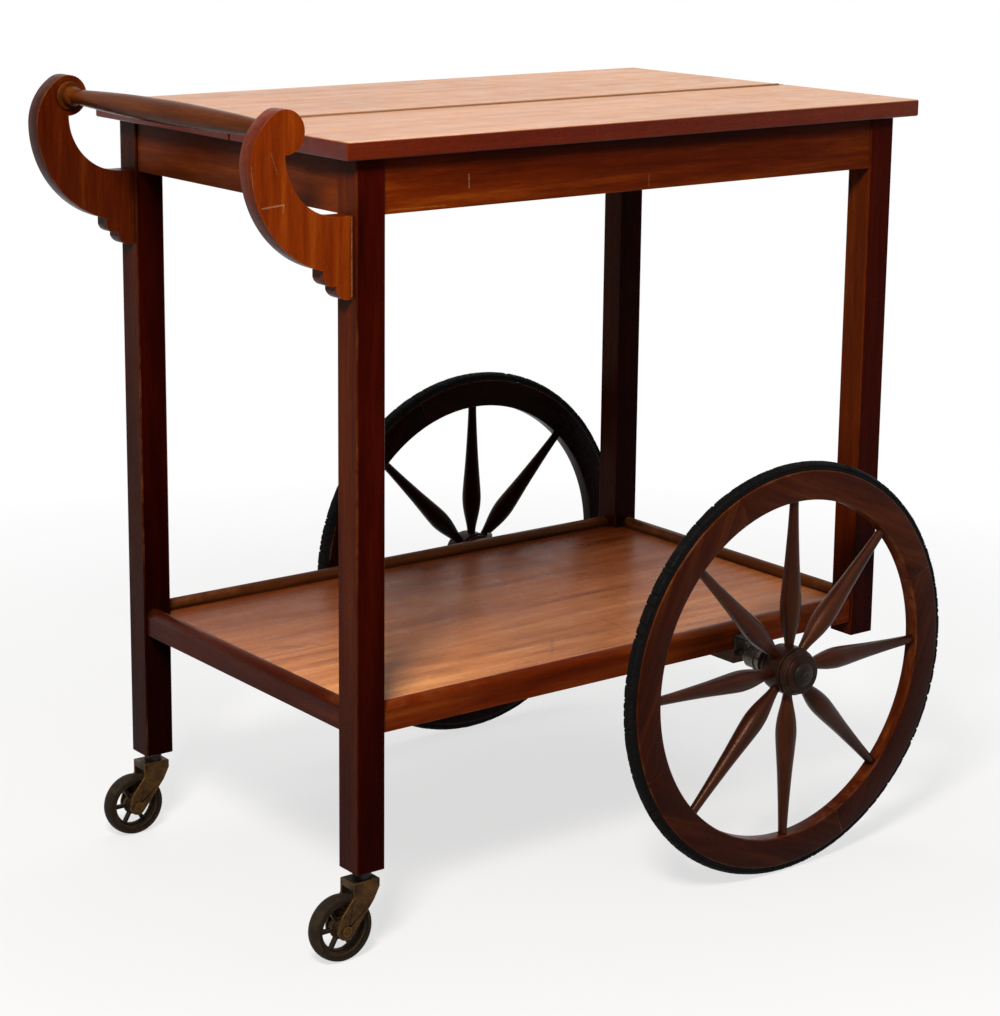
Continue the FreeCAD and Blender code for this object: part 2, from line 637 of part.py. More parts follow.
def make_board(label, near, far, low, seam_edge):
    """One board of the top; every edge but those at the seam is eased."""
    board = start(label)
    length = ("-top_overhang_handle", "top_length - top_overhang_handle")
    slab = block(board, length, (near, far), (low, "top_height"))
    seam_at = value(seam_edge)
    off_seam = value("top_edge_round")
    ease(board, slab, "Fillet", "top_edge_round",
         lambda edge: any(abs(vertex.Y - seam_at) > off_seam for vertex in edge.Vertexes))
    pilot = "hinge_screw_radius + joint_clearance"
    deep = "hinge_screw_length + joint_clearance"
    begin = f"{seam_edge} - ({deep})" if label == "top_leaf" else seam_edge
    for run in hinge_screw_runs():
        spot = (f"hinge_margin - top_overhang_handle + {run}", begin, "pin_height - hinge_screw_drop")
        rod(board, pilot, deep, "y", spot, cut=True)
    place(board, *in_frame("0", "0"))


def make_top():
    near_edge, far_edge = "-top_overhang_near", "top_depth - top_overhang_near"
    leaf_seam, board_seam = "seam - seam_gap / 2", "seam + seam_gap / 2"
    make_board("top_leaf", near_edge, leaf_seam, "frame_top + leaf_rest_gap", leaf_seam)
    make_board("top_board", board_seam, far_edge, "frame_top", board_seam)


def make_hinge_plate(label, side, own_first):
    """Half of the long hinge: a plate on the board's edge and every other knuckle.

    side is -1 on the leaf and +1 on the fixed board; own_first is the first knuckle it owns.
    """
    plate = start(label)
    inner, outer = "seam_gap / 2 - hinge_plate", "seam_gap / 2"
    band = (inner, outer) if side > 0 else (f"-{outer}", f"-({inner})")
    block(plate, ("0", "hinge_length"), band, ("-hinge_plate_drop", "0"))
    clear = "knuckle_radius + hinge_clearance"
    for knuckle in range(round(value("hinge_knuckles"))):
        begin, finish = f"{knuckle} * knuckle_length", f"{knuckle + 1} * knuckle_length"
        if knuckle % 2 == own_first:
            trimmed = "knuckle_length - hinge_clearance"
            rod(plate, "knuckle_radius", trimmed, "x", (f"{begin} + hinge_clearance / 2", "0", "0"))
        else:
            span = (f"{begin} - hinge_clearance / 2", f"{finish} + hinge_clearance / 2")
            block(plate, span, ("-seam_gap", "seam_gap"), (f"-({clear})", clear), cut=True)
    bore = "hinge_pin_radius + hinge_pin_fit"
    rod(plate, bore, "hinge_length + 2 * seam_gap", "x", ("-seam_gap", "0", "0"), cut=True)
    for run in hinge_screw_runs():
        countersink(plate, side, run, "joint_clearance", cut=True)
    place(plate, *in_frame("hinge_margin - top_overhang_handle", "seam", "pin_height"))


def countersink(body, side, run, clearance, cut=False):
    """Tapered head of a hinge screw, flush in its plate, or the hole for it."""
    head, shank = f"hinge_screw_head + {clearance}", f"hinge_screw_radius + {clearance}"
    radii = (head, shank) if side > 0 else (shank, head)
    begin = "seam_gap / 2 - hinge_plate" if side > 0 else "-seam_gap / 2"
    cone(body, *radii, "hinge_plate", "y", (run, begin, "-hinge_screw_drop"), cut)


def make_hinge_screws(label, side):
    screws = start(label)
    begin = "seam_gap / 2" if side > 0 else "-seam_gap / 2 - hinge_screw_length"
    for run in hinge_screw_runs():
        rod(screws, "hinge_screw_radius", "hinge_screw_length", "y", (run, begin, "-hinge_screw_drop"))
        countersink(screws, side, run, "0")
    place(screws, *in_frame("hinge_margin - top_overhang_handle", "seam", "pin_height"))


def make_hinge():
    make_hinge_plate("hinge_plate_fixed", +1, 0)
    make_hinge_plate("hinge_plate_leaf", -1, 1)
    make_hinge_screws("hinge_screws_fixed", +1)
    make_hinge_screws("hinge_screws_leaf", -1)
    pin = start("hinge_pin")
    rod(pin, "hinge_pin_radius", "hinge_length", "x")
    place(pin, *in_frame("hinge_margin - top_overhang_handle", "seam", "pin_height"))


# ---------------------------------------------------------------- handle

def dowel_heights():
    """Heights of a bracket's dowels from the top's upper face."""
    low = "dowel_low - bracket_foot_drop"
    return low, f"{low} + dowel_spacing"


def scroll_corners():
    """Outline of a bracket, outward being -x, from the foot round the steps and the scroll.

    The outer curve is two arcs that meet at the widest point and a head that touches the upper
    one from inside; the inner curve runs up to the head.
    """
    low_centre = "(bracket_reach - bracket_low_radius)"
    head_drop = "(bracket_head_rise + bracket_widest_drop)"
    from_edge = "(bracket_reach - bracket_head_out)"
    high_radius = (
        f"(({from_edge}^2 + {head_drop}^2 - bracket_head_radius^2)"
        f" / (2 * ({from_edge} - bracket_head_radius)))"
    )
    high_centre = f"(bracket_reach - {high_radius})"
    reach = f"({high_radius} / ({high_radius} - bracket_head_radius))"
    crown_out = f"{high_centre} + {reach} * (bracket_head_out - {high_centre})"
    crown_up = f"{reach} * {head_drop} - bracket_widest_drop"
    step_up = f"-bracket_widest_drop - sqrt(bracket_low_radius^2 - (bracket_step_out - {low_centre})^2)"
    gap_out = "(bracket_head_out - bracket_inner_out)"
    gap_up = "(bracket_head_rise + bracket_inner_drop)"
    gap = f"({gap_out}^2 + {gap_up}^2)"
    share = f"(({gap} + bracket_inner_radius^2 - bracket_head_radius^2) / (2 * {gap}))"
    side = f"sqrt(bracket_inner_radius^2 / {gap} - {share}^2)"
    notch_out = f"bracket_inner_out + {share} * {gap_out} + {side} * {gap_up}"
    notch_up = f"{share} * {gap_up} - {side} * {gap_out} - bracket_inner_drop"
    foot = "-bracket_foot_drop"
    outward = (
        ("0", foot, (-1, "bracket_tread_radius")),
        ("bracket_tread_out", f"{foot} + bracket_tread_low"),
        ("bracket_tread_out", f"{foot} + bracket_tread_high", (-1, "bracket_step_radius")),
        ("bracket_step_out", f"{foot} + bracket_step_low"),
        ("bracket_step_out", step_up, (-1, "bracket_low_radius")),
        ("bracket_reach", "-bracket_widest_drop", (-1, high_radius)),
        (crown_out, crown_up, (-1, "bracket_head_radius")),
        ("bracket_head_out - bracket_head_radius", "bracket_head_rise", (-1, "bracket_head_radius")),
        (notch_out, notch_up, (+1, "bracket_inner_radius")),
        ("bracket_inner_out", "-bracket_inner_drop - bracket_inner_radius"),
        ("0", "-bracket_inner_drop - bracket_inner_radius"),
    )
    return [(f"-({corner[0]})", *corner[1:]) for corner in outward]


def make_bracket(side):
    bracket = start(f"handle_bracket_{side}")
    pad(bracket, draw(bracket, "XZ_Plane", scroll_corners()), "bracket_thickness", symmetric=True)
    deep = "grip_spigot_length + running_gap"
    from_face = "bracket_thickness / 2"
    begin = f"{from_face} - ({deep})" if side == "near" else f"-{from_face}"
    middle = ("-bracket_head_out", begin, "bracket_head_rise")
    rod(bracket, "grip_spigot_radius + joint_clearance", deep, "y", middle, cut=True)
    depth = "dowel_length / 2 + joint_clearance"
    for height in dowel_heights():
        rod(bracket, "dowel_radius + joint_clearance", depth, "x", (f"-({depth})", "0", height), cut=True)
    place(bracket, *in_frame("0", across(side, "leg_side / 2", "leg_side / 2")[0], "top_height"))


def make_dowels():
    """Four dowels between the brackets and the legs."""
    dowels = start("bracket_dowels")
    for side in ("near", "far"):
        middle = across(side, "leg_side / 2", "leg_side / 2")[0]
        for height in dowel_heights():
            rod(dowels, "dowel_radius", "dowel_length", "x", ("-dowel_length / 2", middle, height))
    place(dowels, *in_frame("0", "0", "top_height"))


def make_grip():
    """Turned push rail: half of it is turned and mirrored."""
    grip = start("handle_rail")
    end = "grip_length / 2"
    bead = "(grip_bead_width / 2)"
    bead_out = "grip_bead_from_end"
    swell = "(((grip_length / 2 - grip_neck_from_end)^2 + (grip_radius - grip_neck_radius)^2)" \
            " / (2 * (grip_radius - grip_neck_radius)))"
    bead_foot = "grip_bead_foot_radius"
    bead_rise = "(grip_bead_radius - grip_bead_foot_radius)"
    bead_curve = f"(({bead}^2 + {bead_rise}^2) / (2 * {bead_rise}))"
    corners = (
        ("0", "0"),
        ("grip_radius", "0", (+1, swell)),
        ("grip_neck_radius", f"{end} - grip_neck_from_end"),
        (bead_foot, f"{end} - {bead_out} - 2 * {bead}", (+1, bead_curve)),
        (bead_foot, f"{end} - {bead_out}"),
        (bead_foot, f"{end} - grip_collar_width"),
        ("grip_collar_radius", f"{end} - grip_collar_width"),
        ("grip_collar_radius", end),
        ("grip_spigot_radius", end),
        ("grip_spigot_radius", f"{end} + grip_spigot_length"),
        ("0", f"{end} + grip_spigot_length"),
    )
    half = spin(grip, draw(grip, "XY_Plane", corners))
    mirror = grip.newObject("PartDesign::Mirrored", "handle_rail_halves")
    mirror.Originals = [half]
    mirror.MirrorPlane = (origin_feature(grip, "XZ_Plane"), [""])
    grip.Tip = mirror
    doc.recompute()
    place(grip, *in_frame("-bracket_head_out", "frame_depth / 2", "top_height + bracket_head_rise"))


# ---------------------------------------------------------------- large wheels

def set_wheel(piece, side):
    """Put a wheel's piece on the axle: +y of the piece points outward."""
    if side == "near":
        place(piece, *in_frame("axle_distance", "-near_wheel_offset", "wheel_radius"), turn=180)
    else:
        place(piece, *in_frame("axle_distance", "(frame_depth + far_wheel_offset)", "wheel_radius"))


def make_hub(side):
    hub = start(f"wheel_hub_{side}")
    bore = "bush_radius"
    barrel, waist = "hub_radius", "hub_waist_radius"
    ring_begin = "hub_barrel_half + hub_ring_gap"
    corners = (
        (bore, "-hub_inboard"),
        ("hub_inboard_radius", "-hub_inboard"),
        (waist, f"-({ring_begin} + hub_ring_width)"),
        ("hub_ring_radius", f"-({ring_begin} + hub_ring_width)"),
        ("hub_ring_radius", f"-({ring_begin})"),
        (waist, f"-({ring_begin})"),
        (waist, "-hub_barrel_half"),
        (barrel, "-hub_barrel_half"),
        (barrel, "hub_barrel_half"),
        (waist, "hub_barrel_half"),
        (waist, ring_begin),
        ("hub_ring_radius", ring_begin),
        ("hub_ring_radius", f"{ring_begin} + hub_ring_width"),
        (waist, f"{ring_begin} + hub_ring_width"),
        (waist, "hub_outboard - hub_end_chamfer"),
        ("hub_waist_radius - hub_end_chamfer", "hub_outboard"),
        ("hub_recess_radius", "hub_outboard"),
        ("hub_recess_radius", "hub_outboard - hub_recess_depth"),
        (bore, "hub_outboard - hub_recess_depth"),
    )
    spin(hub, draw(hub, "XY_Plane", corners))
    bottom = ("0", "0", "spoke_root - spoke_fit")
    hole = rod(hub, "spoke_tip_radius + spoke_fit", "2 * spoke_seat", "z", bottom, cut=True)
    repeat_round(hub, [hole], "Y_Axis", "spoke_count")
    set_wheel(hub, side)


def make_bush(side):
    bush = start(f"wheel_bush_{side}")
    bore = "axle_radius + bush_fit"
    end = "hub_outboard - hub_recess_depth"
    corners = ((bore, "-hub_inboard"), ("bush_radius", "-hub_inboard"), ("bush_radius", end), (bore, end))
    spin(bush, draw(bush, "XY_Plane", corners))
    set_wheel(bush, side)


def make_spokes(side):
    """Turned spokes: a swept neck at the hub, a round belly and a long taper to the rim."""
    spokes = start(f"wheel_spokes_{side}")
    swell = "(spoke_belly_radius - spoke_tip_radius)"
    run = "(spoke_belly_at - hub_radius)"
    both = f"(({run}^2 + {swell}^2) / (2 * {swell}))"
    hollow = f"({both} * (1 - spoke_inner_bend / {run}))"
    convex = f"({both} * spoke_inner_bend / {run})"
    outer = "((spoke_outer_bend^2 + spoke_bend_drop^2) / (2 * spoke_bend_drop))"
    corners = (
        ("0", "spoke_root"),
        ("spoke_tip_radius", "spoke_root"),
        ("spoke_tip_radius", "hub_radius", (-1, hollow)),
        (f"spoke_belly_radius - {swell} * spoke_inner_bend / {run}",
         "spoke_belly_at - spoke_inner_bend", (+1, convex)),
        ("spoke_belly_radius", "spoke_belly_at", (+1, outer)),
        ("spoke_belly_radius - spoke_bend_drop", "spoke_belly_at + spoke_outer_bend"),
        ("spoke_belly_radius - spoke_waist_drop", "spoke_belly_at + spoke_waist_from_belly"),
        ("spoke_tip_radius", "rim_inner"),
        ("spoke_tip_radius", "rim_inner + spoke_seat"),
        ("0", "rim_inner + spoke_seat"),
    )
    one = spin(spokes, draw(spokes, "XZ_Plane", corners))
    repeat_round(spokes, [one], "Y_Axis", "spoke_count")
    set_wheel(spokes, side)


def make_rim(side):
    """Rim of curved felloes; each felloe takes its share of the spokes."""
    rim = start(f"wheel_rim_{side}")
    half, cut_in = "rim_width / 2", "rim_arris"
    corners = (
        ("rim_inner", f"-{half} + {cut_in}"),
        (f"rim_inner + {cut_in}", f"-{half}"),
        (f"rim_radius - {cut_in}", f"-{half}"),
        ("rim_radius", f"-{half} + {cut_in}"),
        ("rim_radius", f"{half} - {cut_in}"),
        (f"rim_radius - {cut_in}", half),
        (f"rim_inner + {cut_in}", half),
        ("rim_inner", f"{half} - {cut_in}"),
    )
    hoop = spin(rim, draw(rim, "XY_Plane", corners))
    bore = ("0", "0", "rim_inner - spoke_seat")
    hole = rod(rim, "spoke_tip_radius + spoke_fit", "2 * spoke_seat + spoke_fit", "z", bore, cut=True)
    repeat_round(rim, [hole], "Y_Axis", "spoke_count")
    joint = rim.newObject("PartDesign::SubtractiveBox", rim.Label + "_joint")
    bind(joint, Length="2 * rim_depth", Width="2 * rim_width", Height="felloe_gap")
    turn = 360 / value("spoke_count") / 2
    joint.Placement = FreeCAD.Placement(Vector(), FreeCAD.Rotation(Vector(0, -1, 0), turn))
    bind(joint, **{
        "Placement.Base.x": f"(rim_inner - rim_depth / 2) * cos({turn}) + felloe_gap / 2 * sin({turn})",
        "Placement.Base.y": "-rim_width",
        "Placement.Base.z": f"(rim_inner - rim_depth / 2) * sin({turn}) - felloe_gap / 2 * cos({turn})",
    })
    doc.recompute()
    repeat_round(rim, [joint], "Y_Axis", "felloe_count")
    set_wheel(rim, side)


def make_tyre(side):
    tyre = start(f"wheel_tyre_{side}")
    half = "tyre_width / 2"
    seat_radius = "rim_radius + tyre_seat_gap"
    shoulder = "rim_radius + tyre_flank"
    depth = "(tyre_depth - tyre_flank)"
    bow = f"((({half})^2 + {depth}^2) / (2 * {depth}))"
    corners = (
        (seat_radius, f"-{half}"),
        (shoulder, f"-{half}", (+1, bow)),
        ("wheel_radius", "0", (+1, bow)),
        (shoulder, half),
        (seat_radius, half),
    )
    spin(tyre, draw(tyre, "XY_Plane", corners))
    set_wheel(tyre, side)


def make_cap(side):
    """Domed cap that closes the nut's recess, with its screw."""
    cap = start(f"hub_cap_{side}")
    plug = "hub_recess_radius - joint_clearance"
    rise = "hub_outboard + cap_rise"
    bow = "(((cap_radius - cap_screw_radius)^2 + cap_rise^2) / (2 * cap_rise))"
    corners = (
        ("0", "hub_outboard - cap_plug_depth"),
        (plug, "hub_outboard - cap_plug_depth"),
        (plug, "hub_outboard"),
        ("cap_radius", "hub_outboard", (+1, bow)),
        ("cap_screw_radius", rise),
        ("0", rise),
    )
    spin(cap, draw(cap, "XY_Plane", corners))
    rod(cap, "cap_screw_radius", "cap_screw_rise", "y", ("0", rise, "0"))
    set_wheel(cap, side)


# ---------------------------------------------------------------- axle

def rod_at_axle(body, side, radius, low, high, cut=False):
    """A rod about the axle, between two distances outward from one side of the legs."""
    begin = across(side, f"-({high})", f"-({low})")[0]
    rod(body, radius, f"{high} - ({low})", "y", ("axle_distance", begin, "wheel_radius"), cut)


def make_axle():
    axle = start("axle")
    near = "near_wheel_offset + axle_tip"
    length = f"frame_depth + {near} + far_wheel_offset + axle_tip"
    rod(axle, "axle_radius", length, "y", ("0", f"-({near})", "0"))
    place(axle, *in_frame("axle_distance", "0", "wheel_radius"))


def make_beam():
    """Wooden beam clamped under the long shelf rails, slotted from above for the axle."""
    beam = start("axle_beam")
    depth = ("shelf_rail_inset", "frame_depth - shelf_rail_inset")
    width = ("axle_distance - beam_width / 2", "axle_distance + beam_width / 2")
    block(beam, width, depth, ("beam_bottom", "shelf_rail_bottom"))
    slot = "axle_radius + beam_slot_clearance"
    rod(beam, slot, "frame_depth", "y", ("axle_distance", "0", "wheel_radius"), cut=True)
    span = (f"axle_distance - ({slot})", f"axle_distance + {slot}")
    block(beam, span, ("0", "frame_depth"), ("wheel_radius", "shelf_rail_bottom"), cut=True)
    place(beam, *in_frame("0", "0"))


def hexagon(body, radius, at, height, flat_to_side=False):
    """A six-sided nut that runs up from a point, or along +y from it."""
    prism = body.newObject("PartDesign::AdditivePrism", body.Label + "_nut")
    prism.Polygon = 6
    bind(prism, Circumradius=radius, Height=height)
    turn = 90 if flat_to_side else 0
    place(prism, *at, turn=turn, axis=Vector(-1, 0, 0))
    doc.recompute()


def make_axle_nuts():
    """Nuts and washers that keep the wheels on the axle."""
    hole = "axle_radius + joint_clearance"
    washers = start("axle_washers")
    nuts = start("axle_nuts")
    for side in ("near", "far"):
        seat_at = f"{side}_wheel_offset + nut_seat"
        rod_at_axle(washers, side, "washer_radius", f"{seat_at} - washer_thickness", seat_at)
        rod_at_axle(washers, side, hole, f"{seat_at} - washer_thickness", seat_at, cut=True)
        begin = across(side, f"-({seat_at} + nut_height)", f"-({seat_at})")[0]
        spot = ("axle_distance", begin, "wheel_radius")
        hexagon(nuts, "nut_radius", spot, "nut_height", flat_to_side=True)
        rod_at_axle(nuts, side, hole, seat_at, f"{seat_at} + nut_height", cut=True)
    for group in (washers, nuts):
        place(group, *in_frame("0", "0"))


def make_hangers():
    """Eye bolts round the axle, each hung from an angle plate on its shelf rail by two nuts."""
    eyes = start("eye_bolts")
    plates = start("hanger_plates")
    nuts = start("hanger_nuts")
    hole = "eye_shank_radius + joint_clearance"
    width = ("axle_distance - lug_width / 2", "axle_distance + lug_width / 2")
    shelf = ("lug_shelf", "lug_shelf + lug_thickness")
    for side in ("near", "far"):
        middle = across(side, "-eye_offset", "-eye_offset")[0]
        half = "eye_width / 2"
        rod_at_axle(eyes, side, "eye_radius", f"eye_offset - {half}", f"eye_offset + {half}")
        shank = "eye_bolt_top - wheel_radius"
        rod(eyes, "eye_shank_radius", shank, "z", ("axle_distance", middle, "wheel_radius"))
        clear = f"eye_offset - {half} - joint_clearance", f"eye_offset + {half} + joint_clearance"
        rod_at_axle(eyes, side, "axle_radius + eye_fit", *clear, cut=True)
        face = across(side, "shelf_rail_inset - lug_thickness", "shelf_rail_inset")
        block(plates, width, face, ("shelf_rail_bottom", shelf[1]))
        block(plates, width, across(side, "-eye_offset - lug_reach", "shelf_rail_inset"), shelf)
        bolt = ("axle_distance", middle)
        rod(plates, hole, "lug_thickness", "z", (*bolt, "lug_shelf"), cut=True)
        for low in ("lug_shelf - bolt_nut_height", shelf[1]):
            hexagon(nuts, "bolt_nut_radius", (*bolt, low), "bolt_nut_height")
            rod(nuts, hole, "bolt_nut_height", "z", (*bolt, low), cut=True)
    for group in (eyes, plates, nuts):
        place(group, *in_frame("0", "0"))


def make_spacer(side):
    """Spacer on the axle between the eye bolt and the hub; the long near one has a raised ring."""
    spacer = start(f"axle_spacer_{side}")
    low, high = "eye_offset + eye_width / 2", f"{side}_wheel_offset - hub_inboard - running_gap"
    rod_at_axle(spacer, side, "spacer_radius", low, high)
    if side == "near":
        middle, half = f"({low} + {high}) / 2", "spacer_ring_width / 2"
        rod_at_axle(spacer, side, "spacer_ring_radius", f"{middle} - {half}", f"{middle} + {half}")
    rod_at_axle(spacer, side, "axle_radius + eye_fit", low, high, cut=True)
    place(spacer, *in_frame("0", "0"))


# ---------------------------------------------------------------- casters

def set_caster(piece, side):
    """Stand a caster's piece under its leg, origin on the floor below the stem."""
    place(piece, *in_frame("leg_side / 2", across(side, "leg_side / 2", "leg_side / 2")[0]))


def make_sockets():
    """Flanged tubes let into the two legs."""
    sockets = start("caster_sockets")
    bore = "stem_radius + stem_fit"
    foot, top = "caster_leg_foot", "caster_socket_top"
    for side in ("near", "far"):
        middle = ("leg_side / 2", across(side, "leg_side / 2", "leg_side / 2")[0])
        rod(sockets, "socket_flange_radius", "socket_flange", "z", (*middle, f"{foot} - socket_flange"))
        rod(sockets, "socket_radius", f"{top} - {foot}", "z", (*middle, foot))
        deep = f"{top} - socket_crown - {foot} + socket_flange"
        rod(sockets, bore, deep, "z", (*middle, f"{foot} - socket_flange"), cut=True)
    place(sockets, *in_frame("0", "0"))


def touching(point, side):
    """Where a line from a point touches the fork's round end: +1 on its back, -1 on its front."""
    across_gap = f"({point[0]} + caster_trail)"
    up_gap = f"({point[1]} - caster_wheel_radius)"
    square = f"({across_gap}^2 + {up_gap}^2)"
    share = f"(fork_end_radius^2 / {square})"
    aside = f"({side} * fork_end_radius * sqrt({square} - fork_end_radius^2) / {square})"
    return (
        f"{share} * {across_gap} - {aside} * {up_gap} - caster_trail",
        f"{share} * {up_gap} + {aside} * {across_gap} + caster_wheel_radius",
    )


def make_fork(side):
    """Forked yoke: bent cheeks under a bridge that is riveted to the stem."""
    fork = start(f"caster_fork_{side}")
    front_bend = ("fork_front_bend_out", "fork_front_bend")
    back_bend = ("-fork_back_bend_out", "fork_back_bend")
    corners = (
        ("-fork_back", "fork_top"),
        ("fork_front", "fork_top"),
        ("fork_front", "fork_front_low"),
        front_bend,
        (*touching(front_bend, -1), (-1, "fork_end_radius")),
        touching(back_bend, +1),
        back_bend,
        ("-fork_back", "fork_back_low"),
    )
    yoke = pad(fork, draw(fork, "XZ_Plane", corners), "fork_width", symmetric=True)
    ease(fork, yoke, "Fillet", "fork_edge_round", lambda edge: lies_at(edge, Z=value("fork_top")))
    gap = "fork_width / 2 - fork_plate"
    reach = "caster_trail + caster_wheel_radius"
    block(fork, (f"-({reach})", reach), (f"-({gap})", gap), ("0", "fork_top - fork_bridge"), cut=True)
    rod(fork, "stem_radius + joint_clearance", "fork_top", "z", cut=True)
    pin = ("-caster_trail", "-fork_width", "caster_wheel_radius")
    rod(fork, "caster_pin_radius + joint_clearance / 2", "2 * fork_width", "y", pin, cut=True)
    set_caster(fork, side)


def make_stem(side):
    stem = start(f"caster_stem_{side}")
    base = "fork_top - fork_bridge"
    rod(stem, "stem_radius", "fork_bridge + stem_length", "z", ("0", "0", base))
    set_caster(stem, side)
    collar = start(f"caster_collar_{side}")
    height = "caster_leg_foot - socket_flange - running_gap - fork_top"
    rod(collar, "collar_radius", height, "z", ("0", "0", "fork_top"))
    rod(collar, "stem_radius + joint_clearance", height, "z", ("0", "0", "fork_top"), cut=True)
    set_caster(collar, side)


def set_caster_wheel(piece, side):
    middle = across(side, "leg_side / 2", "leg_side / 2")[0]
    place(piece, *in_frame("leg_side / 2 - caster_trail", middle, "caster_wheel_radius"))


def window_corners():
    """Outline of one window above the pin, its sides along the arms."""
    lean = "180 / caster_window_count"
    half_arm = "(caster_arm / 2)"

    def corner(radius, sign):
        run = f"sqrt({radius}^2 - {half_arm}^2)"
        return (
            f"{sign} * ({run} * sin({lean}) - {half_arm} * cos({lean}))",
            f"{run} * cos({lean}) + {half_arm} * sin({lean})",
        )

    return (
        corner("caster_window_inner", 1),
        (*corner("caster_window_outer", 1), (+1, "caster_window_outer")),
        corner("caster_window_outer", -1),
        (*corner("caster_window_inner", -1), (-1, "caster_window_inner")),
    )


def make_caster_wheel(side):
    wheel = start(f"caster_wheel_{side}")
    bore = "caster_pin_radius + caster_pin_fit"
    hub, web = "caster_hub_width / 2", "caster_web / 2"
    rim = "caster_tread_width / 2 - caster_tread_lip"
    corners = (
        (bore, f"-{hub}"),
        ("caster_hub_radius", f"-{hub}"),
        ("caster_hub_radius", f"-{web}"),
        ("caster_web_radius", f"-{web}"),
        ("caster_web_radius", f"-({rim})"),
        ("caster_inner_radius", f"-({rim})"),
        ("caster_inner_radius", rim),
        ("caster_web_radius", rim),
        ("caster_web_radius", web),
        ("caster_hub_radius", web),
        ("caster_hub_radius", hub),
        (bore, hub),
    )
    spin(wheel, draw(wheel, "XY_Plane", corners))
    window = pocket(wheel, draw(wheel, "XZ_Plane", window_corners()), "2 * caster_web")
    repeat_round(wheel, [window], "Y_Axis", "caster_window_count")
    set_caster_wheel(wheel, side)

    tread = start(f"caster_tread_{side}")
    half, crown = "caster_tread_width / 2", "caster_tread_crown"
    bow = f"((({half})^2 + {crown}^2) / (2 * {crown}))"
    corners = (
        ("caster_inner_radius", f"-{half}"),
        (f"caster_wheel_radius - {crown}", f"-{half}", (+1, bow)),
        ("caster_wheel_radius", "0", (+1, bow)),
        (f"caster_wheel_radius - {crown}", half),
        ("caster_inner_radius", half),
    )
    spin(tread, draw(tread, "XY_Plane", corners))
    set_caster_wheel(tread, side)

    pin = start(f"caster_pin_{side}")
    rod(pin, "caster_pin_radius", "fork_width", "y", ("0", "-fork_width / 2", "0"))
    for begin in ("-fork_width / 2 - caster_pin_head", "fork_width / 2"):
        rod(pin, "caster_pin_head_radius", "caster_pin_head", "y", ("0", begin, "0"))
    set_caster_wheel(pin, side)


def make_everything():
    for end in ("handle", "wheel"):
        for side in ("near", "far"):
            make_leg(end, side)
    for side in ("near", "far", "handle_end", "wheel_end"):
        make_apron(side)
        make_shelf_rail(side)
    make_bearer()
    make_glue_blocks()
    make_shelf_panel()
    make_top()
    make_hinge()
    make_dowels()
    make_grip()
    make_axle()
    make_beam()
    make_axle_nuts()
    make_hangers()
    make_sockets()
    for side in ("near", "far"):
        for make in (make_bracket, make_hub, make_bush, make_spokes, make_rim, make_tyre, make_cap,
                     make_spacer, make_fork, make_stem, make_caster_wheel):
            make(side)


def check_document():
    for item in doc.Objects:
        broken = [word for word in item.State if word in ("Invalid", "Error")]
        if broken:
            raise RuntimeError(f"{item.Label}: {broken}")
    for piece in pieces:
        if piece.Shape.isNull() or not piece.Shape.isValid() or not piece.Shape.Solids:
            raise RuntimeError(f"{piece.Label} has no valid solid")


def export():
    os.makedirs("parts", exist_ok=True)
    for piece in pieces:
        piece.Shape.exportStep(f"parts/{piece.Label}.step")
        print(f"{piece.Label:26s} {len(piece.Shape.Solids):2d} solids {piece.Shape.Volume:12.1f} mm3")


fill_sheets()
make_everything()
doc.recompute()
check_document()
export()
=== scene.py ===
"""The tea trolley dressed for a picture: turned and swept pieces, woods, metals, floor, light, camera.

Lengths are in metres. Profiles, marks and eased edges are given in millimetres and multiplied by MM.
"""

import json
import math
import random

import bpy
from mathutils import Matrix, Vector, noise

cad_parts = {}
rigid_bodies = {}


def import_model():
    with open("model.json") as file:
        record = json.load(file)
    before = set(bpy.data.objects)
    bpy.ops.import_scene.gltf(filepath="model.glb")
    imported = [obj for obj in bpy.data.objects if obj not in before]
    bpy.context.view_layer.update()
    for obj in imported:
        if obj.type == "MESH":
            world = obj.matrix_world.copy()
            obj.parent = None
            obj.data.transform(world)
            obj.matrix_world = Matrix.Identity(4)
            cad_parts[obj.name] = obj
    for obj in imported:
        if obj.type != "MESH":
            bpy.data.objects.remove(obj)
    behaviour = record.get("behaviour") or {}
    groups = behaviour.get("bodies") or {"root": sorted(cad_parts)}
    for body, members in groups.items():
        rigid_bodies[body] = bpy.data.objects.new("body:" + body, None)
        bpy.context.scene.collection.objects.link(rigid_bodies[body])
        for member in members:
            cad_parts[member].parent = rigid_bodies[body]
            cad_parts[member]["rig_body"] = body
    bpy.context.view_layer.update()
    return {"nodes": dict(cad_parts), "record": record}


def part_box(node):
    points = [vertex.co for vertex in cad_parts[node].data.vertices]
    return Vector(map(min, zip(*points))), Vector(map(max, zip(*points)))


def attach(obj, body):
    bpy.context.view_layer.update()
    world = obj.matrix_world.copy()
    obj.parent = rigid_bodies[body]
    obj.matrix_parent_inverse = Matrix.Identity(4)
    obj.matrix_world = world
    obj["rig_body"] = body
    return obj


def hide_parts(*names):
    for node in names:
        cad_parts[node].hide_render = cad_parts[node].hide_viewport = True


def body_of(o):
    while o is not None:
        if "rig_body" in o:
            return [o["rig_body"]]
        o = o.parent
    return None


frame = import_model()
NODES = frame["nodes"]
SLOT_OF = {part["node"]: part["material_slot"] for part in frame["record"]["subparts"]}
MM = 0.001
NO_LENGTH = 1e-6
FULL_TURN = 2 * math.pi
SIDES = ("near", "far")


def add_object(name, data):
    """A new object of the scene that holds this mesh, lamp or camera."""
    made = bpy.data.objects.new(name, data)
    bpy.context.scene.collection.objects.link(made)
    return made


# ---------------------------------------------------------------- camera and light

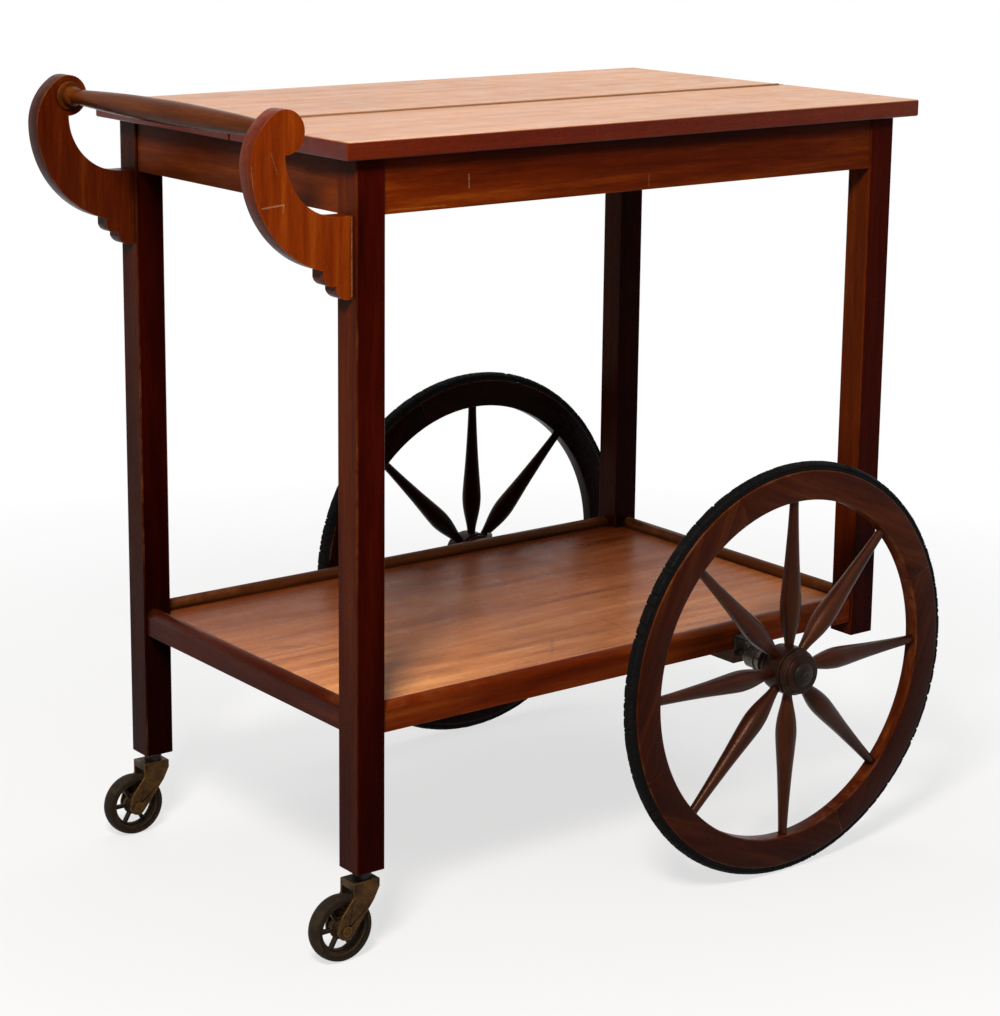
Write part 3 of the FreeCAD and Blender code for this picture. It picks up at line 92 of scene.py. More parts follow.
PICTURE_WIDTH = 1000
PICTURE_HEIGHT = 1016
CENTRE_PIXELS = (450, 408)
FOCAL_PIXELS = 2570
SENSOR = 36.0
CAMERA_PLACE = Vector((-1.4999, -1.9728, 0.987))
YAW = -36.46
PITCH = -12.42
ROLL = 0.38


def make_camera():
    """The camera fitted to the picture; its shift puts the line of sight at CENTRE_PIXELS."""
    data = bpy.data.cameras.new("camera")
    long_side = max(PICTURE_WIDTH, PICTURE_HEIGHT)
    data.sensor_width = SENSOR
    data.lens = FOCAL_PIXELS * SENSOR / long_side
    data.shift_x = (PICTURE_WIDTH / 2 - CENTRE_PIXELS[0]) / long_side
    data.shift_y = (CENTRE_PIXELS[1] - PICTURE_HEIGHT / 2) / long_side
    yaw, pitch, roll = (math.radians(angle) for angle in (YAW, PITCH, ROLL))
    ahead = Vector((-math.sin(yaw) * math.cos(pitch), math.cos(yaw) * math.cos(pitch), math.sin(pitch)))
    right = Vector((math.cos(yaw), math.sin(yaw), 0))
    up = right.cross(ahead)
    turned_right = right * math.cos(roll) + up * math.sin(roll)
    turned_up = up * math.cos(roll) - right * math.sin(roll)
    rotation = Matrix((turned_right, turned_up, -ahead)).transposed()
    camera = add_object("camera", data)
    camera.matrix_world = Matrix.Translation(CAMERA_PLACE) @ rotation.to_4x4()
    bpy.context.scene.camera = camera


def softbox(name, place, target, width, height, power, color=(1, 1, 1)):
    """A rectangular lamp at one point, turned towards another."""
    data = bpy.data.lights.new(name, "AREA")
    data.shape = "RECTANGLE"
    data.size = width
    data.size_y = height
    data.energy = power
    data.color = color
    lamp = add_object(name, data)
    lamp.location = place
    lamp.rotation_mode = "QUATERNION"
    lamp.rotation_quaternion = (Vector(target) - Vector(place)).to_track_quat("-Z", "Y")


make_camera()
softbox("key_light", place=(-1.35, -1.25, 1.95), target=(0, 0, 0.45), width=0.5, height=0.5, power=58,
        color=(1.0, 0.97, 0.93))
softbox("front_fill", place=(-0.2, -2.4, 1.3), target=(0, 0, 0.4), width=1.2, height=0.9, power=4,
        color=(1.0, 0.98, 0.96))
softbox("top_light", place=(0.45, 0.35, 1.9), target=(0.1, 0, 0.7), width=1.2, height=1.0, power=13)


# ---------------------------------------------------------------- node materials

MIX_FACTOR, MIX_FIRST, MIX_SECOND, MIX_RESULT = 0, 6, 7, 2     # colour sockets of Blender's Mix node


def shade(red, green, blue):
    """A screen colour, 0 to 255, as the linear colour that a shader takes."""
    def linear(channel):
        level = channel / 255
        return level / 12.92 if level <= 0.04045 else ((level + 0.055) / 1.055) ** 2.4
    return linear(red), linear(green), linear(blue), 1.0


class Surface:
    """One node material with a principled shader."""

    def __init__(self, name):
        self.material = bpy.data.materials.new(name)
        self.material.use_nodes = True
        self.tree = self.material.node_tree
        self.shader = self.tree.nodes["Principled BSDF"]

    def node(self, kind, settings=None, **sockets):
        """A new node with its settings and with its sockets, spaces written as underscores, fed."""
        made = self.tree.nodes.new(kind)
        for name, setting in (settings or {}).items():
            setattr(made, name, setting)
        for name, given in sockets.items():
            self.feed(made.inputs[name.replace("_", " ")], given)
        return made

    def feed(self, socket, given):
        """Links an output to the socket, or sets the socket to a plain value."""
        if isinstance(given, bpy.types.NodeSocket):
            self.tree.links.new(given, socket)
        else:
            socket.default_value = given

    def place(self):
        """Where a point lies in the trolley at rest, which is every piece's own object space."""
        return self.node("ShaderNodeTexCoord").outputs["Object"]

    def stock(self):
        """Where a point lay in the stick of wood that its piece was cut from, grain along x."""
        return self.node("ShaderNodeAttribute", {"attribute_name": "grain"}).outputs["Vector"]

    def stretched(self, vector, scale, shift):
        return self.node("ShaderNodeMapping", Vector=vector, Scale=scale, Location=shift).outputs[0]

    def noise(self, vector, scale, detail=4.0, roughness=0.55, distortion=0.0):
        made = self.node("ShaderNodeTexNoise", Vector=vector, Scale=scale, Detail=detail,
                         Roughness=roughness, Distortion=distortion)
        return made.outputs["Fac"]

    def ramp(self, value, stops):
        """A colour ramp; each stop is a place and a colour or a level."""
        made = self.node("ShaderNodeValToRGB", Fac=value)
        elements = made.color_ramp.elements
        while len(elements) < len(stops):
            elements.new(0.5)
        for element, (position, color) in zip(elements, stops):
            element.position = position
            element.color = color if isinstance(color, tuple) else (color, color, color, 1)
        return made.outputs[0]

    def rise(self, value, start, finish):
        """0 while a value is under the start and 1 once it is past the finish."""
        return self.ramp(value, ((start, 0.0), (finish, 1.0)))

    def fall(self, value, start, finish):
        """1 while a value is under the start and 0 once it is past the finish."""
        return self.ramp(value, ((start, 1.0), (finish, 0.0)))

    def mix(self, amount, first, second, way="MIX"):
        made = self.node("ShaderNodeMix", {"data_type": "RGBA", "blend_type": way})
        self.feed(made.inputs[MIX_FACTOR], amount)
        self.feed(made.inputs[MIX_FIRST], first)
        self.feed(made.inputs[MIX_SECOND], second)
        return made.outputs[MIX_RESULT]

    def tinted(self, amount, color, tint):
        """The colour times a tint, by this amount."""
        return self.mix(amount, color, tint, "MULTIPLY")

    def mottled(self, amount, color, value, darkest, clear):
        """The colour darkened where a value is low, from darkest, a (value, level), up to clear."""
        return self.tinted(amount, color, self.ramp(value, (darkest, (clear, 1.0))))

    def math(self, operation, first, second=0.0, clamp=False):
        made = self.node("ShaderNodeMath", {"operation": operation, "use_clamp": clamp})
        self.feed(made.inputs[0], first)
        self.feed(made.inputs[1], second)
        return made.outputs[0]

    def times(self, first, second, clamp=False):
        return self.math("MULTIPLY", first, second, clamp)

    def without(self, value):
        """1 less a value."""
        return self.math("SUBTRACT", 1.0, value)

    def vector_math(self, operation, first, second, output="Vector"):
        made = self.node("ShaderNodeVectorMath", {"operation": operation})
        self.feed(made.inputs[0], first)
        self.feed(made.inputs[1], second)
        return made.outputs[output]

    def edges(self, radius):
        """1 on edges of about this radius and 0 on the flats."""
        rounded_normal = self.node("ShaderNodeBevel", {"samples": 6}, Radius=radius).outputs[0]
        flat_normal = self.node("ShaderNodeNewGeometry").outputs["True Normal"]
        alike = self.vector_math("DOT_PRODUCT", rounded_normal, flat_normal, "Value")
        return self.fall(alike, 0.90, 0.995)

    def crevices(self, reach):
        """1 in corners that are narrower than this reach and 0 in the open."""
        openness = self.node("ShaderNodeAmbientOcclusion", {"samples": 6}, Distance=reach).outputs["AO"]
        return self.fall(openness, 0.35, 0.88)

    def facing(self, directions):
        """1 on faces that look one of these ways and 0 on the others."""
        normal = self.node("ShaderNodeNewGeometry").outputs["Normal"]
        most = self.vector_math("DOT_PRODUCT", normal, directions[0], "Value")
        for direction in directions[1:]:
            most = self.math("MAXIMUM", most, self.vector_math("DOT_PRODUCT", normal, direction, "Value"))
        return self.rise(most, 0.45, 0.85)

    def along_way(self, place, direction, start, finish):
        """0 before one distance along a direction and 1 after another."""
        run = self.vector_math("DOT_PRODUCT", place, direction, "Value")
        share = self.math("DIVIDE", self.math("SUBTRACT", run, start), finish - start)
        return self.rise(share, 0.0, 1.0)

    def near_line(self, place, first, last, width):
        """1 on the straight line between two points, fading to 0 at this distance from it."""
        first, last = Vector(first), Vector(last)
        run = last - first
        offset = self.vector_math("SUBTRACT", place, tuple(first))
        share = self.vector_math("DOT_PRODUCT", offset, tuple(run / run.length_squared), "Value")
        share = self.math("MINIMUM", self.math("MAXIMUM", share, 0.0), 1.0)
        scaled = self.node("ShaderNodeVectorMath", {"operation": "SCALE"}, Scale=share)
        self.feed(scaled.inputs[0], tuple(run))
        away = self.vector_math("DISTANCE", offset, scaled.outputs["Vector"], "Value")
        return self.fall(self.math("DIVIDE", away, width), 0.0, 1.0)

    def bump(self, height, distance, below=None):
        """A relief of this depth, on top of another one where that is given."""
        made = self.node("ShaderNodeBump", Height=height, Distance=distance, Strength=1.0)
        if below is not None:
            self.feed(made.inputs["Normal"], below)
        return made.outputs[0]

    def finish(self, **sockets):
        for name, given in sockets.items():
            self.feed(self.shader.inputs[name.replace("_", " ")], given)
        return self.material


FIGURE_ACROSS = 14.0
GRAIN_ALONG = {
    "x": (1.0, FIGURE_ACROSS, FIGURE_ACROSS),
    "y": (FIGURE_ACROSS, 1.0, FIGURE_ACROSS),
    "z": (FIGURE_ACROSS, FIGURE_ACROSS, 1.0),
    "stock": (1.0, FIGURE_ACROSS, FIGURE_ACROSS),
}
WARM_GLEAM = (1.0, 0.42, 0.20, 1.0)
# Gleam of the faces that take a tint of painted shade or painted light.
PAINTED_SHADING_GLEAM = (0.06, 0.02, 0.01, 1.0)
# Narrow corners darken towards a near-black: painted shade, partly grime of old polish.
CREVICE_REACH = 9 * MM
CREVICE_SHADE_AND_GRIME = 0.85
CREVICE_SHADE_AND_GRIME_COLOR = (0.012, 0.004, 0.002, 1)


class Grain:
    """One run of wood grain in four sizes: broad figure, streaks, fibre and open pores."""

    def __init__(self, surface, cut, figure):
        self.surface = surface
        self.broad = surface.noise(cut, figure, detail=6, roughness=0.66, distortion=0.2)
        self.streak = surface.noise(cut, figure * 6, detail=6, roughness=0.72, distortion=0.15)
        self.fibre = surface.noise(cut, figure * 22, detail=4, roughness=0.7)
        self.pores = surface.fall(surface.noise(cut, figure * 60, detail=2, roughness=0.5), 0.34, 0.42)

    def color(self, tones):
        """The dark, middle and light screen colours laid out along the grain."""
        surface = self.surface
        dark, middle, light = (shade(*tone) for tone in tones)
        color = surface.ramp(self.broad, ((0.24, dark), (0.50, middle), (0.76, light)))
        color = surface.mottled(0.50, color, self.streak, (0.34, 0.50), 0.64)
        color = surface.mottled(0.38, color, self.fibre, (0.36, 0.55), 0.62)
        return surface.mix(surface.times(self.pores, 0.45), color, dark)

    def relief(self):
        """The streaks and the fibre stand up a little, and the pores are sunk."""
        surface = self.surface
        relief = surface.bump(self.streak, 0.10 * MM)
        relief = surface.bump(self.fibre, 0.06 * MM, below=relief)
        return surface.bump(surface.without(self.pores), 0.05 * MM, below=relief)


def worn_edges(surface, place, edge, wear):
    """1 where handling has rubbed the polish off the edges, in patches."""
    chafe = surface.rise(surface.noise(place, 48.0, 5, 0.7), 0.40, 0.62)
    patches = surface.ramp(surface.noise(place, 9.0, 2), ((0.42, 0.15), (0.60, 1.0)))
    rubbed = surface.times(surface.times(chafe, patches), wear)
    return surface.times(surface.edges(edge), rubbed, clamp=True)


def marked(surface, place, color, marks):
    """The colour with its scratches and stains, each a ragged line."""
    if not marks:
        return color
    ragged = surface.ramp(surface.noise(place, 260.0, 3, 0.7), ((0.35, 0.25), (0.60, 1.0)))
    for first, last, width, tint, amount in marks:
        line = surface.times(surface.near_line(place, first, last, width), ragged)
        color = surface.mix(surface.times(line, amount), color, shade(*tint))
    return color


def wood(name, along, tones, gloss=0.32, figure=4.0, wear=0.5, specular=0.3, marks=(), soil=0.35,
         worn_tone=(186, 112, 62), edge=1.4 * MM, shift=(0, 0, 0), gleam=WARM_GLEAM,
         shown=(), painted_shading_tint=(0.6, 0.45, 0.35, 1.0), painted_light_and_soil=()):
    """Polished mahogany: broad figure, fine fibre and open pores along the grain, soil and worn edges.

    tones are the dark, middle and light screen colours. marks are (first, last, width, colour, amount)
    lines on the surface, such as scratches and stains. shown are the directions of the faces that keep
    their colour; the others take a tint of painted shade or painted light, and less gloss. The gradients,
    each (direction, start, finish, tint), are painted light and shade that grows along a direction; at the
    feet of the legs they are partly soil. Narrow corners darken: painted shade, partly grime.
    """
    surface = Surface(name)
    place = surface.place()
    cut = surface.stock() if along == "stock" else place
    grain = Grain(surface, surface.stretched(cut, GRAIN_ALONG[along], shift), figure)
    blotches = surface.noise(place, 8.0, detail=5, roughness=0.6)
    color = surface.mottled(soil, grain.color(tones), blotches, (0.32, 0.55), 0.62)
    # Painted shade or painted light: faces that look other ways take a tint and a duller gleam.
    if shown:
        painted_shading = surface.without(surface.facing(shown))
        color = surface.tinted(painted_shading, color, painted_shading_tint)
        gleam = surface.mix(painted_shading, gleam, PAINTED_SHADING_GLEAM)
    # Painted light and shade that grows along a direction; at the feet of the legs partly soil.
    for direction, start, finish, tint in painted_light_and_soil:
        color = surface.tinted(surface.along_way(place, direction, start, finish), color, tint)
    # Painted shade, partly grime: narrow corners are darkened.
    shade_and_grime = surface.times(surface.crevices(CREVICE_REACH), CREVICE_SHADE_AND_GRIME)
    color = surface.mix(shade_and_grime, color, CREVICE_SHADE_AND_GRIME_COLOR)
    worn = worn_edges(surface, place, edge, wear)
    color = surface.mix(worn, color, shade(*worn_tone))
    color = marked(surface, place, color, marks)
    polish = surface.noise(place, 30.0, detail=5, roughness=0.6)
    rough = surface.ramp(polish, ((0.3, gloss - 0.06), (0.7, gloss + 0.12)))
    rough = surface.math("ADD", rough, surface.times(worn, 0.25))
    return surface.finish(Base_Color=color, Roughness=rough, Normal=grain.relief(),
                          Specular_IOR_Level=specular, Specular_Tint=gleam)


def metal(name, base, tarnish, bright, rough=0.38, metallic=0.85, specular=0.5, varnished=None):
    """Old metal with tarnish in patches, fine grit and brighter edges.

    varnished is a height and the colour of the old varnish that covers the metal above it.
    """
    surface = Surface(name)
    place = surface.place()
    patchy = surface.noise(place, 52.0, detail=6, roughness=0.65)
    color = surface.mix(surface.rise(patchy, 0.36, 0.62), shade(*base), shade(*tarnish))
    specks = surface.ramp(surface.noise(place, 300.0, 4, 0.7), ((0.55, 0.0), (0.70, 0.7)))
    color = surface.mix(specks, color, shade(*tarnish))
    color = surface.mix(surface.times(surface.edges(0.9 * MM), 0.5), color, shade(*bright))
    if varnished is not None:
        height, tint = varnished
        covered = surface.along_way(place, (0, 0, 1), height, height + 0.3 * MM)
        color = surface.mix(covered, color, surface.mix(patchy, shade(*tint), shade(*base)))
        metallic = surface.times(surface.without(covered), metallic)
    grit = surface.noise(place, 420.0, detail=3, roughness=0.6)
    roughness = surface.ramp(patchy, ((0.3, rough - 0.08), (0.7, rough + 0.20)))
    return surface.finish(Base_Color=color, Metallic=metallic, Roughness=roughness,
                          Normal=surface.bump(grit, 0.06 * MM), Specular_IOR_Level=specular)


def rubber(name, base, dust, crack_scale, crack_depth):
    """Old black rubber, dusty in its hollows, with fine cracks."""
    surface = Surface(name)
    place = surface.place()
    dusty = surface.noise(place, 46.0, detail=6, roughness=0.7)
    color = surface.mix(surface.ramp(dusty, ((0.48, 0.0), (0.78, 0.6))), shade(*base), shade(*dust))
    split = surface.node("ShaderNodeTexVoronoi", {"feature": "DISTANCE_TO_EDGE"}, Vector=place,
                         Scale=crack_scale)
    relief = surface.bump(surface.rise(split.outputs["Distance"], 0.0, 0.09), crack_depth)
    relief = surface.bump(dusty, 0.3 * MM, below=relief)
    rough = surface.ramp(dusty, ((0.3, 0.46), (0.7, 0.78)))
    return surface.finish(Base_Color=color, Roughness=rough, Normal=relief, Specular_IOR_Level=0.05)


# ---------------------------------------------------------------- tools for pieces in mesh code

def put(name, points, faces, node, material, grain=None, sharp=38):
    """A piece that stands for a CAD node, which it hides: it rides on the node's body and wears the given
    material.
    """
    mesh = bpy.data.meshes.new(name)
    mesh.from_pydata(points, [], faces)
    mesh.update()
    mesh.validate()
    mesh.shade_smooth()
    mesh.set_sharp_from_angle(angle=math.radians(sharp))
    if grain is not None:
        stock = mesh.attributes.new("grain", "FLOAT_VECTOR", "POINT")
        stock.data.foreach_set("vector", [number for point in grain for number in point])
    mesh.materials.append(material)
    piece = add_object(name, mesh)
    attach(piece, body_of(NODES[node])[0])
    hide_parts(node)


CORNER_STEPS = 3


def rounded(corners, radius):
    """An open outline with each inner corner turned into a small curve."""
    outline = [Vector(corners[0])]
    for before, corner, after in zip(corners, corners[1:], corners[2:]):
        before, corner, after = Vector(before), Vector(corner), Vector(after)
        back, ahead = before - corner, after - corner
        size = min(radius, back.length * 0.45, ahead.length * 0.45)
        if size < NO_LENGTH:
            outline.append(corner)
            continue
        first, last = corner + back.normalized() * size, corner + ahead.normalized() * size
        for step in range(CORNER_STEPS + 1):
            share = step / CORNER_STEPS
            near = first.lerp(corner, share)
            outline.append(near.lerp(corner.lerp(last, share), share))
    outline.append(Vector(corners[-1]))
    return outline


def closed_section(corners, radius):
    """A closed outline with rounded corners."""
    wrapped = [corners[-1], *corners, corners[0]]
    return [tuple(point) for point in rounded(wrapped, radius)[1:-1]]


def circle_point(radius, turn):
    """The point of a circle at an angle in radians."""
    return radius * math.cos(turn), radius * math.sin(turn)


def band(low, high, count):
    """Faces between two closed rings of points that start at these two numbers."""
    for corner in range(count):
        following = (corner + 1) % count
        yield low + corner, low + following, high + following, high + corner


def lathe(outline, segments):
    """Points and faces of an outline of (radius, along) turned about the along axis, as (u, v, along)."""
    points, faces = [], []
    for radius, run in outline:
        for segment in range(segments):
            points.append((*circle_point(radius, FULL_TURN * segment / segments), run))
    for ring in range(len(outline) - 1):
        faces.extend(band(ring * segments, (ring + 1) * segments, segments))
    for ring, turned in ((0, True), (len(outline) - 1, False)):
        if outline[ring][0] > NO_LENGTH:
            rim = range(ring * segments, (ring + 1) * segments)
            faces.append(tuple(reversed(rim)) if turned else tuple(rim))
    return points, faces


def sweep(section, start, finish, steps, capped):
    """A closed section of (radius, along) carried round the axle between two angles in degrees."""
    count = len(section)
    rings = steps + 1 if capped else steps
    points, faces = [], []
    for ring in range(rings):
        turn = math.radians(start + (finish - start) * ring / steps)
        points.extend((*circle_point(radius, turn), along) for radius, along in section)
    for ring in range(steps):
        faces.extend(band(ring * count, ((ring + 1) % rings) * count, count))
    if capped:
        faces.append(tuple(reversed(range(count))))
        faces.append(tuple(range((rings - 1) * count, rings * count)))
    return points, faces


def join(parts):
    """Several (points, faces) as one."""
    points, faces = [], []
    for some_points, some_faces in parts:
        first = len(points)
        points.extend(some_points)
        faces.extend(tuple(first + corner for corner in face) for face in some_faces)
    return points, faces


def turned_grain(points):
    """Places in the stick that a turned piece was made from, grain along its axis."""
    return [(along * MM, u * MM, v * MM) for u, v, along in points]


# ---------------------------------------------------------------- the large wheels

# Outlines of (radius, along). A hub and a tyre run along the axle, a spoke out from it.
WHEEL_OUTLINES = {
    "hub": (
        (7.2, -27.4), (15.5, -27.4), (16.4, -25.2), (15.2, -23.6),          # collar at the washer
        (20.2, -14.6),                                                      # end of the cone
        (22.4, -14.2), (22.6, -12.0), (20.6, -11.8), (20.8, -10.2),         # inner bead and groove
        (23.4, -10.0), (24.0, -8.4), (24.0, 8.4), (23.4, 10.0),             # barrel that holds the spokes
        (20.8, 10.2), (20.6, 11.8), (22.6, 12.0), (22.4, 14.0),             # groove and outer bead
        (20.8, 14.4), (20.9, 16.4), (20.0, 16.8), (20.2, 18.4),             # steps of the outer end
        (19.0, 21.0), (12.4, 21.0),                                         # face round the cap
    ),
    "spoke": (
        (4.4, 15), (4.4, 23), (4.7, 27), (5.7, 33), (7.0, 39), (8.3, 45), (9.4, 51), (10.1, 57), (10.4, 62),
        (10.4, 66), (10.1, 72), (9.5, 80), (8.6, 91), (7.6, 103), (6.9, 114), (6.2, 126), (5.5, 138),
        (5.0, 149), (4.5, 161), (4.4, 169), (4.4, 177),
    ),
    "half_tyre": (
        (198.1, 6.1), (199.2, 6.3), (200.3, 6.25),                          # edge over the rim
        (200.8, 5.5), (201.3, 5.4), (201.8, 6.1), (202.8, 6.15),            # groove along the flank
        (203.8, 5.6), (204.7, 4.7), (205.3, 3.5), (205.7, 2.4),             # shoulder
        (205.4, 1.9), (205.6, 1.3), (206.0, 0.6),                           # groove beside the crown
    ),
}
HUB_EDGE = 0.7
CAP_RADIUS = 12.0
CAP_SEAT = 21.0
CAP_RISE = 4.5
CAP_SCREW = ((3.6, 25.3), (3.4, 26.1), (2.6, 26.3), (0.0, 26.3))
SPOKE_COUNT = 8
SPOKE_SEGMENTS = 28
SPOKE_STOCK_STEP = (0.73, 0.31)         # from one spoke's stick of wood to the next one's
FELLOE_COUNT = 4
FIRST_FELLOE = 67.5                     # angle of its middle
FELLOE_JOINT = 0.1                      # half the gap between two felloes
FELLOE_STOCK_STEP = (1.9, 0.037)
RIM_INSIDE = 169
RIM_OUTSIDE = 198
RIM_MIDDLE = 184
RIM_HALF_WIDTH = 7.75
RIM_EDGE = 1.6
TYRE_STEPS = 960
TYRE_CRACKS = 130
TYRE_SEEDS = {"near": 11, "far": 12}
CRACK_DEPTHS = (0.4, 1.3)
TYRE_FLANK = 200.5                      # radius from which the rubber is ragged
TYRE_WAVES = 26
TYRE_GRIT = 110
WAVE_DEPTH = 0.3
GRIT_DEPTH = 0.25


def wheel_place(side):
    """Centre of a wheel and the direction that points outward along its axle."""
    low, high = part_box(f"wheel_rim_{side}")
    return (low + high) / 2, (-1 if side == "near" else 1)


WHEELS = {side: wheel_place(side) for side in SIDES}


def on_axle(side, point):
    """A turned point (u, v, along) of a wheel as a point of the trolley, in metres from millimetres."""
    centre, outward = WHEELS[side]
    return centre + Vector((point[0], outward * point[2], point[1])) * MM


def make_turned(side, node, outline, segments, material):
    """A turned piece about the axle; its grain runs along it."""
    points, faces = lathe(outline, segments)
    placed = [on_axle(side, point) for point in points]
    put(f"{node}_turned", placed, faces, node, material, turned_grain(points))


def make_hub(side, material):
    """Turned hub with a bead on each side of its barrel."""
    make_turned(side, f"wheel_hub_{side}", rounded(WHEEL_OUTLINES["hub"], HUB_EDGE), 96, material)


def make_cap(side, material):
    """Domed cap with the head of its screw in the middle."""
    dome = []
    for step in range(1, 8):
        turn = math.radians(9 * step)
        dome.append((CAP_RADIUS * math.cos(turn), CAP_SEAT + CAP_RISE * math.sin(turn)))
    outline = rounded([(9.9, 19.8), (CAP_RADIUS, CAP_SEAT), *dome, *CAP_SCREW], 0.25)
    make_turned(side, f"hub_cap_{side}", outline, 64, material)


def spoke_outline():
    """The turned shape of a spoke, from its root in the hub to its end in the rim, without corners."""
    corners = WHEEL_OUTLINES["spoke"]
    fine = []
    for (first, start), (last, finish) in zip(corners, corners[1:]):
        for share in (0, 1 / 3, 2 / 3):
            fine.append((first + (last - first) * share, start + (finish - start) * share))
    fine.append(corners[-1])
    smooth = [((before[0] + 2 * here[0] + after[0]) / 4, here[1])
              for before, here, after in zip(fine, fine[1:], fine[2:])]
    return [fine[0], *smooth, fine[-1]]


def make_spokes(side, material):
    """Eight turned spokes; each has its own piece of wood, grain along it."""
    parts, grain = [], []
    spoke_points, spoke_faces = lathe(spoke_outline(), SPOKE_SEGMENTS)
    for number in range(SPOKE_COUNT):
        out = Vector(circle_point(1, math.radians(360 / SPOKE_COUNT * number)))
        aside = Vector((-out.y, out.x))
        placed = []
        for u, v, along in spoke_points:
            flat = out * along + aside * u
            placed.append(on_axle(side, (flat.x, flat.y, v)))
            grain.append((along * MM + number * SPOKE_STOCK_STEP[0],
                          u * MM + number * SPOKE_STOCK_STEP[1], v * MM))
        parts.append((placed, spoke_faces))
    points, faces = join(parts)
    put(f"wheel_spokes_{side}_turned", points, faces, f"wheel_spokes_{side}", material, grain)


def make_rim(side, material):
    """Four felloes, each sawn from its own straight-grained board."""
    section = closed_section(((RIM_INSIDE, -RIM_HALF_WIDTH), (RIM_OUTSIDE, -RIM_HALF_WIDTH),
                              (RIM_OUTSIDE, RIM_HALF_WIDTH), (RIM_INSIDE, RIM_HALF_WIDTH)), RIM_EDGE)
    parts, grain = [], []
    reach = 180 / FELLOE_COUNT - math.degrees(FELLOE_JOINT / RIM_MIDDLE)
    for number in range(FELLOE_COUNT):
        middle = FIRST_FELLOE + 360 / FELLOE_COUNT * number
        points, faces = sweep(section, middle - reach, middle + reach, 60, capped=True)
        out = Vector(circle_point(1, math.radians(middle)))
        aside = Vector((-out.y, out.x))
        for u, v, along in points:
            flat = Vector((u, v)) * MM
            grain.append((flat.dot(aside) + number * FELLOE_STOCK_STEP[0],
                          flat.dot(out) + number * FELLOE_STOCK_STEP[1], along * MM))
        parts.append(([on_axle(side, point) for point in points], faces))
    points, faces = join(parts)
    put(f"wheel_rim_{side}_felloes", points, faces, f"wheel_rim_{side}", material, grain, sharp=45)


def make_tyre(side, material):
    """Rubber band with two grooves along each flank, a ragged edge and cracks across it."""
    half = WHEEL_OUTLINES["half_tyre"]
    section = [*[(radius, -along) for radius, along in half], *reversed(half)]
    points, faces = sweep(section, 0, 360, TYRE_STEPS, capped=False)
    dice = random.Random(TYRE_SEEDS[side])
    crack_at = {dice.randrange(TYRE_STEPS): dice.uniform(*CRACK_DEPTHS) for _ in range(TYRE_CRACKS)}
    shaped = []
    for index, (u, v, along) in enumerate(points):
        ring, corner = divmod(index, len(section))
        radius = section[corner][0]
        depth = crack_at.get(ring, 0.0)
        outside = max(0.0, min(1.0, (radius - TYRE_FLANK) / 3))
        seat = Vector((u, v)) / radius
        wave = noise.noise(Vector((seat.x * TYRE_WAVES, seat.y * TYRE_WAVES, along * 0.05)))
        grit = noise.noise(Vector((seat.x * TYRE_GRIT, seat.y * TYRE_GRIT, along * 0.3)))
        drop = outside * (depth + WAVE_DEPTH * (wave + 1) / 2 + GRIT_DEPTH * (grit + 1) / 2)
        squeeze = 1 - 0.05 * outside * (wave + 1) - 0.10 * min(depth, 1.0)
        shaped.append(on_axle(side, (u - seat.x * drop, v - seat.y * drop, along * squeeze)))
    put(f"wheel_tyre_{side}_band", shaped, faces, f"wheel_tyre_{side}", material, sharp=60)


# ---------------------------------------------------------------- push rail and eye bolts

SPIGOT_RADIUS = 6.0
SPIGOT_LENGTH = 12
TURNED_END = (
    (13.4, 0.0), (13.5, 2.0), (12.6, 2.7),                                  # collar against the bracket
    (8.2, 3.0), (9.3, 4.6), (9.7, 8.0), (9.1, 11.2), (7.9, 13.0),           # bead
    (7.4, 13.8), (6.9, 15.6),                                               # neck
)
SWELL_START = 17
NECK_RADIUS = 6.8
SWELL_RISE = 4.2
SWELL_STEPS = 24

EYE_INSET = 3.7
EYE_RADIUS = 6.1
EYE_HALF_THICK = 2.0
EYE_HALF_WIDE = 3.6
EYE_HOLE = 4.15
SHANK_START = 7.0
THREAD_ROOT = 2.55
THREAD_HEIGHT = 0.42
THREAD_PITCH = 1.25
THREAD_RINGS = 150
THREAD_SEGMENTS = 20


def push_rail_outline(end):
    """The turned shape of the push rail; its shoulders lie at this distance from its middle."""
    swell = []
    for step in range(SWELL_STEPS + 1):
        run = (end - SWELL_START) * (1 - step / SWELL_STEPS)
        swell.append((NECK_RADIUS + SWELL_RISE * (1 - (run / (end - SWELL_START)) ** 2), -run))
    corners = [(SPIGOT_RADIUS, -end - SPIGOT_LENGTH), (SPIGOT_RADIUS, -end)]
    corners += [(radius, -end + run) for radius, run in TURNED_END]
    half = [*rounded([*corners, swell[0]], 0.5), *[Vector(point) for point in swell[1:]]]
    mirrored = [(point.x, -point.y) for point in reversed(half[:-1])]
    return [tuple(point) for point in half] + mirrored


def make_push_rail(material):
    """Turned push rail with a long swell, a bead and a collar at each end."""
    low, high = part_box("handle_rail")
    centre = (low + high) / 2
    end = ((high.y - low.y) / MM - 2 * SPIGOT_LENGTH) / 2
    points, faces = lathe(push_rail_outline(end), 40)
    placed = [centre + Vector((u, along, v)) * MM for u, v, along in points]
    put("handle_rail_turned", placed, faces, "handle_rail", material, turned_grain(points))


